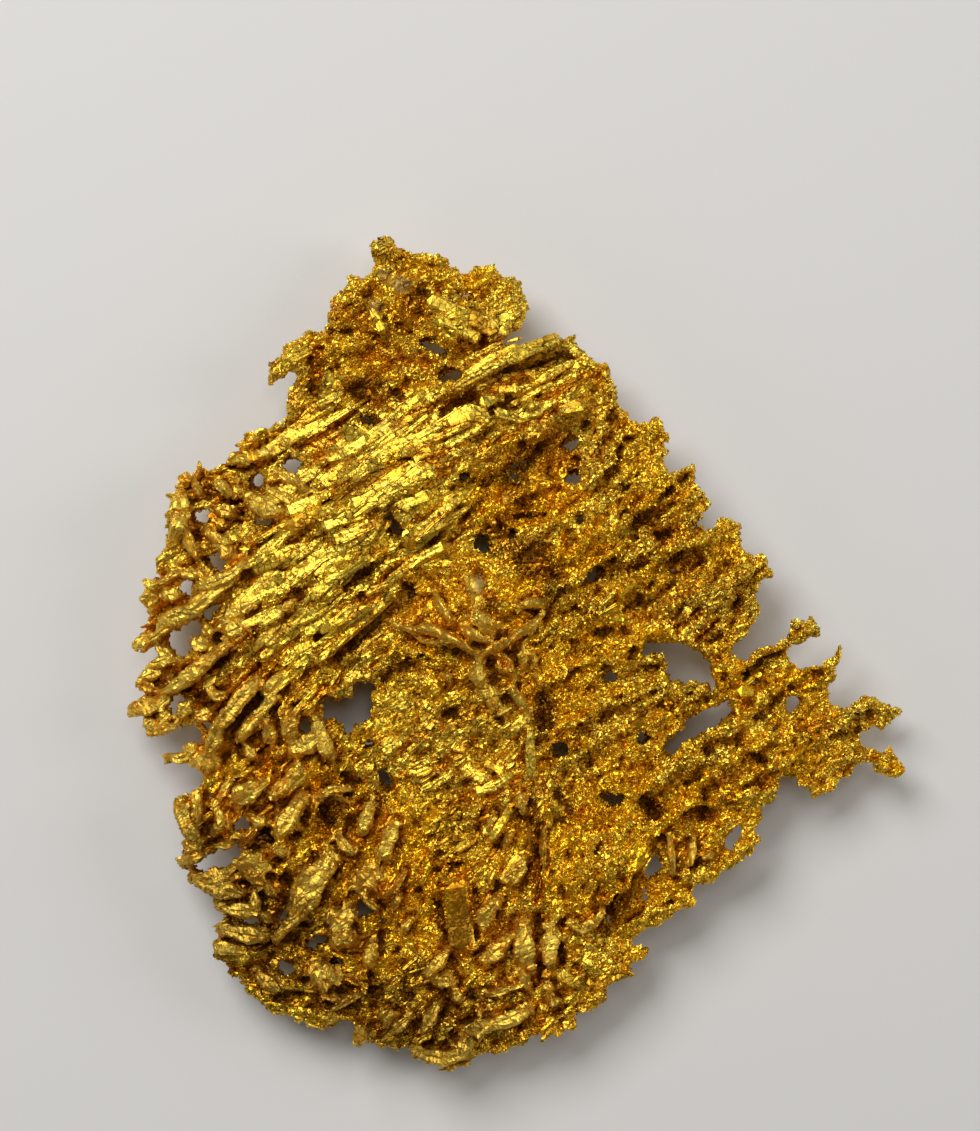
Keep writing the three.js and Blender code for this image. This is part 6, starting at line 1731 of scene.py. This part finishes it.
class GOLD_OT_grains(bpy.types.Operator):
    """Crust the sugary parts with blocky crystals"""

    bl_idname = "gold.grains"
    bl_label = "Grains"

    def execute(self, context):
        def chance(points, normals, weights):
            grain = zone_value(weights, GRAIN)
            wall = 1 - smoothstep(np.abs(normals[:, 2]), 0.3, 0.7)
            return (5.5 * grain ** 1.2 + 0.8 * wall) * (0.25 + 0.75 * smoothstep(normals[:, 2], -0.5, 0.2))

        def arranged(rng, up, weights, yellow, gloss):
            ahead = random_ways(len(up), rng)
            size = rng.uniform(0.07, 0.2, (len(up), 1)) * rng.uniform(0.7, 1.25, (len(up), 3))
            return ahead, leaning(up, 0.5, rng), size

        count = context.scene.gold_sizes.grain_count
        strewn(context, "gold_grains", octahedron(), 2, count, chance, arranged, 0.0, 0.15, (0, 0.2), 0.3)
        return {"FINISHED"}


class GOLD_OT_crust(bpy.types.Operator):
    """Cover the grainy parts with a crust of tiny crystals"""

    bl_idname = "gold.crust"
    bl_label = "Crust"

    def execute(self, context):
        def chance(points, normals, weights):
            grainy = 0.25 + 0.75 * smoothstep(zone_value(weights, GRAIN), 0.03, 0.08)
            grainy = np.maximum(grainy, 0.8 * zone_value(weights, PITS))
            return grainy * (1 - 0.95 * calmness(points)) * (0.2 + 0.8 * smoothstep(normals[:, 2], -0.4, 0.2))

        count = context.scene.gold_sizes.crust_count
        for part in (1, 2):
            def arranged(rng, up, weights, yellow, gloss, scale=1.2 - 0.35 * part):
                ahead = random_ways(len(up), rng)
                ahead = rib_direction(weights) * gloss[:, None] + ahead * (1.1 - gloss[:, None])
                ahead /= np.linalg.norm(ahead, axis=1, keepdims=True)
                size = rng.uniform(0.05, 0.12, (len(up), 1)) * scale * rng.uniform(0.7, 1.25, (len(up), 3))
                size[:, 0] *= 1 + 0.8 * gloss
                size[:, 2] *= 1 - 0.4 * gloss
                # In the bright parts the crystals all face much the same way.
                alike = (gloss * yellow)[:, None] * 0.65
                return ahead, leaning(up * (1 - alike) + COMMON_FACE * alike, 0.26, rng), size

            strewn(context, f"gold_crust_{part}", chip(), 10 + part, count, chance, arranged, 0.03, 0.2,
                   (0, 0.25), 0.35)
        return {"FINISHED"}


class GOLD_OT_flakes(bpy.types.Operator):
    """Strew thin bright plates over the sheet"""

    bl_idname = "gold.flakes"
    bl_label = "Flakes"

    def execute(self, context):
        def chance(points, normals, weights):
            shine = zone_value(weights, YELLOW) * zone_value(weights, GLOSS)
            return (0.15 + 0.5 * shine) * smoothstep(normals[:, 2], 0.0, 0.6)

        def arranged(rng, up, weights, yellow, gloss):
            ahead = leaning(rib_direction(weights), 0.4, rng)
            length = rng.uniform(0.08, 0.24, len(up))
            size = np.stack([length * rng.uniform(1.0, 1.6, len(up)), length,
                             rng.uniform(0.03, 0.07, len(up))], axis=1)
            return ahead, leaning(up * 0.6 + COMMON_FACE * 0.4, 0.22, rng), size

        count = context.scene.gold_sizes.flake_count
        strewn(context, "gold_flakes", flake(), 3, count, chance, arranged, 0.02, 0.35, (0.05, 0.15), 0.3)
        return {"FINISHED"}


def area_light(name, polar, azimuth, distance, size, radiance):
    """A soft light of even radiance that faces the specimen."""
    data = bpy.data.lights.new(name, "AREA")
    data.shape = "RECTANGLE"
    data.size, data.size_y = size
    data.energy = radiance * math.pi * size[0] * size[1]
    light = bpy.data.objects.new(name, data)
    p, a = math.radians(polar), math.radians(azimuth)
    way = Vector((math.sin(p) * math.cos(a), math.sin(p) * math.sin(a), math.cos(p)))
    light.location = way * distance
    light.rotation_euler = way.to_track_quat("Z", "Y").to_euler()
    return light


def floor_arrays():
    """A round floor that curves up into a low wall, in metres."""
    flat, bend, turns = 0.6, 0.3, 72
    profile = [(0.35, 0.0), (flat, 0.0)]
    for a in np.linspace(0.2, math.pi / 2, 8):
        profile.append((flat + bend * math.sin(a), bend - bend * math.cos(a)))
    profile.append((0.9, 0.6))
    points = [(0, 0, 0)]
    for r, z in profile:
        for t in np.linspace(0, 2 * math.pi, turns, endpoint=False):
            points.append((r * math.cos(t), r * math.sin(t), z))
    faces = [(0, 1 + k, 1 + (k + 1) % turns) for k in range(turns)]
    faces += tube_faces(1, len(profile), turns)
    return np.array(points, float), np.array(faces)


class GOLD_OT_stage(bpy.types.Operator):
    """Set the pale floor, the soft lights and the camera"""

    bl_idname = "gold.stage"
    bl_label = "Stage"

    def execute(self, context):
        stage = context.scene.gold_stage
        points, faces = floor_arrays()
        mesh = mesh_from("floor", points / MM, faces)
        mesh.polygons.foreach_set("use_smooth", np.ones(len(mesh.polygons), bool))
        mesh.materials.append(plain_material("pale_floor", stage.floor_colour, 0.7))
        floor = bpy.data.objects.new("floor", mesh)
        context.scene.collection.objects.link(floor)

        world = bpy.data.worlds.new("studio")
        world.use_nodes = True
        background = world.node_tree.nodes["Background"].inputs
        background["Color"].default_value = (1.0, 0.90, 0.78, 1)
        background["Strength"].default_value = 0.10
        context.scene.world = world
        for name, polar, azimuth, distance, size, radiance in LIGHTS:
            light = area_light(name, polar, azimuth, distance, size, radiance * stage.light)
            context.scene.collection.objects.link(light)

        data = bpy.data.cameras.new("camera")
        data.lens = stage.lens
        data.sensor_width = 36
        data.clip_start = 0.005
        camera = bpy.data.objects.new("camera", data)
        x, y, focus_height = (v * MM for v in FRAME_CENTRE)
        camera.location = (x, y, focus_height + FRAME_HEIGHT * MM * stage.lens / data.sensor_width)
        context.scene.collection.objects.link(camera)
        context.scene.camera = camera
        context.scene.view_settings.view_transform = "Standard"
        return {"FINISHED"}


class GOLD_PT_panel(bpy.types.Panel):
    """The steps that make the specimen"""

    bl_idname = "GOLD_PT_panel"
    bl_label = "Gold Crystal"
    bl_space_type = "VIEW_3D"
    bl_region_type = "UI"
    bl_category = "Gold Crystal"

    def draw(self, context):
        for settings in (context.scene.gold_sizes, context.scene.gold_colours, context.scene.gold_stage):
            for name in settings.__annotations__:
                self.layout.prop(settings, name)
        for operator in OPERATORS:
            self.layout.operator(operator.bl_idname)


SETTINGS = {"gold_sizes": GoldSizes, "gold_colours": GoldColours, "gold_stage": StageSettings}
OPERATORS = (GOLD_OT_body, GOLD_OT_wires, GOLD_OT_leaves, GOLD_OT_plates, GOLD_OT_blades, GOLD_OT_grains,
             GOLD_OT_crust, GOLD_OT_flakes, GOLD_OT_stage)


def register():
    """Tells Blender the classes and gives every scene their settings."""
    for cls in (*SETTINGS.values(), *OPERATORS, GOLD_PT_panel):
        bpy.utils.register_class(cls)
    for name, cls in SETTINGS.items():
        setattr(bpy.types.Scene, name, PointerProperty(type=cls))


def unregister():
    """Takes back what register did."""
    for name in SETTINGS:
        delattr(bpy.types.Scene, name)
    for cls in reversed((*SETTINGS.values(), *OPERATORS, GOLD_PT_panel)):
        bpy.utils.unregister_class(cls)


def main():
    """Builds everything in order."""
    register()
    bpy.ops.gold.body()
    bpy.ops.gold.wires()
    bpy.ops.gold.leaves()
    bpy.ops.gold.plates()
    bpy.ops.gold.blades()
    bpy.ops.gold.grains()
    bpy.ops.gold.crust()
    bpy.ops.gold.flakes()
    bpy.ops.gold.stage()


if __name__ == "__main__":
    main()
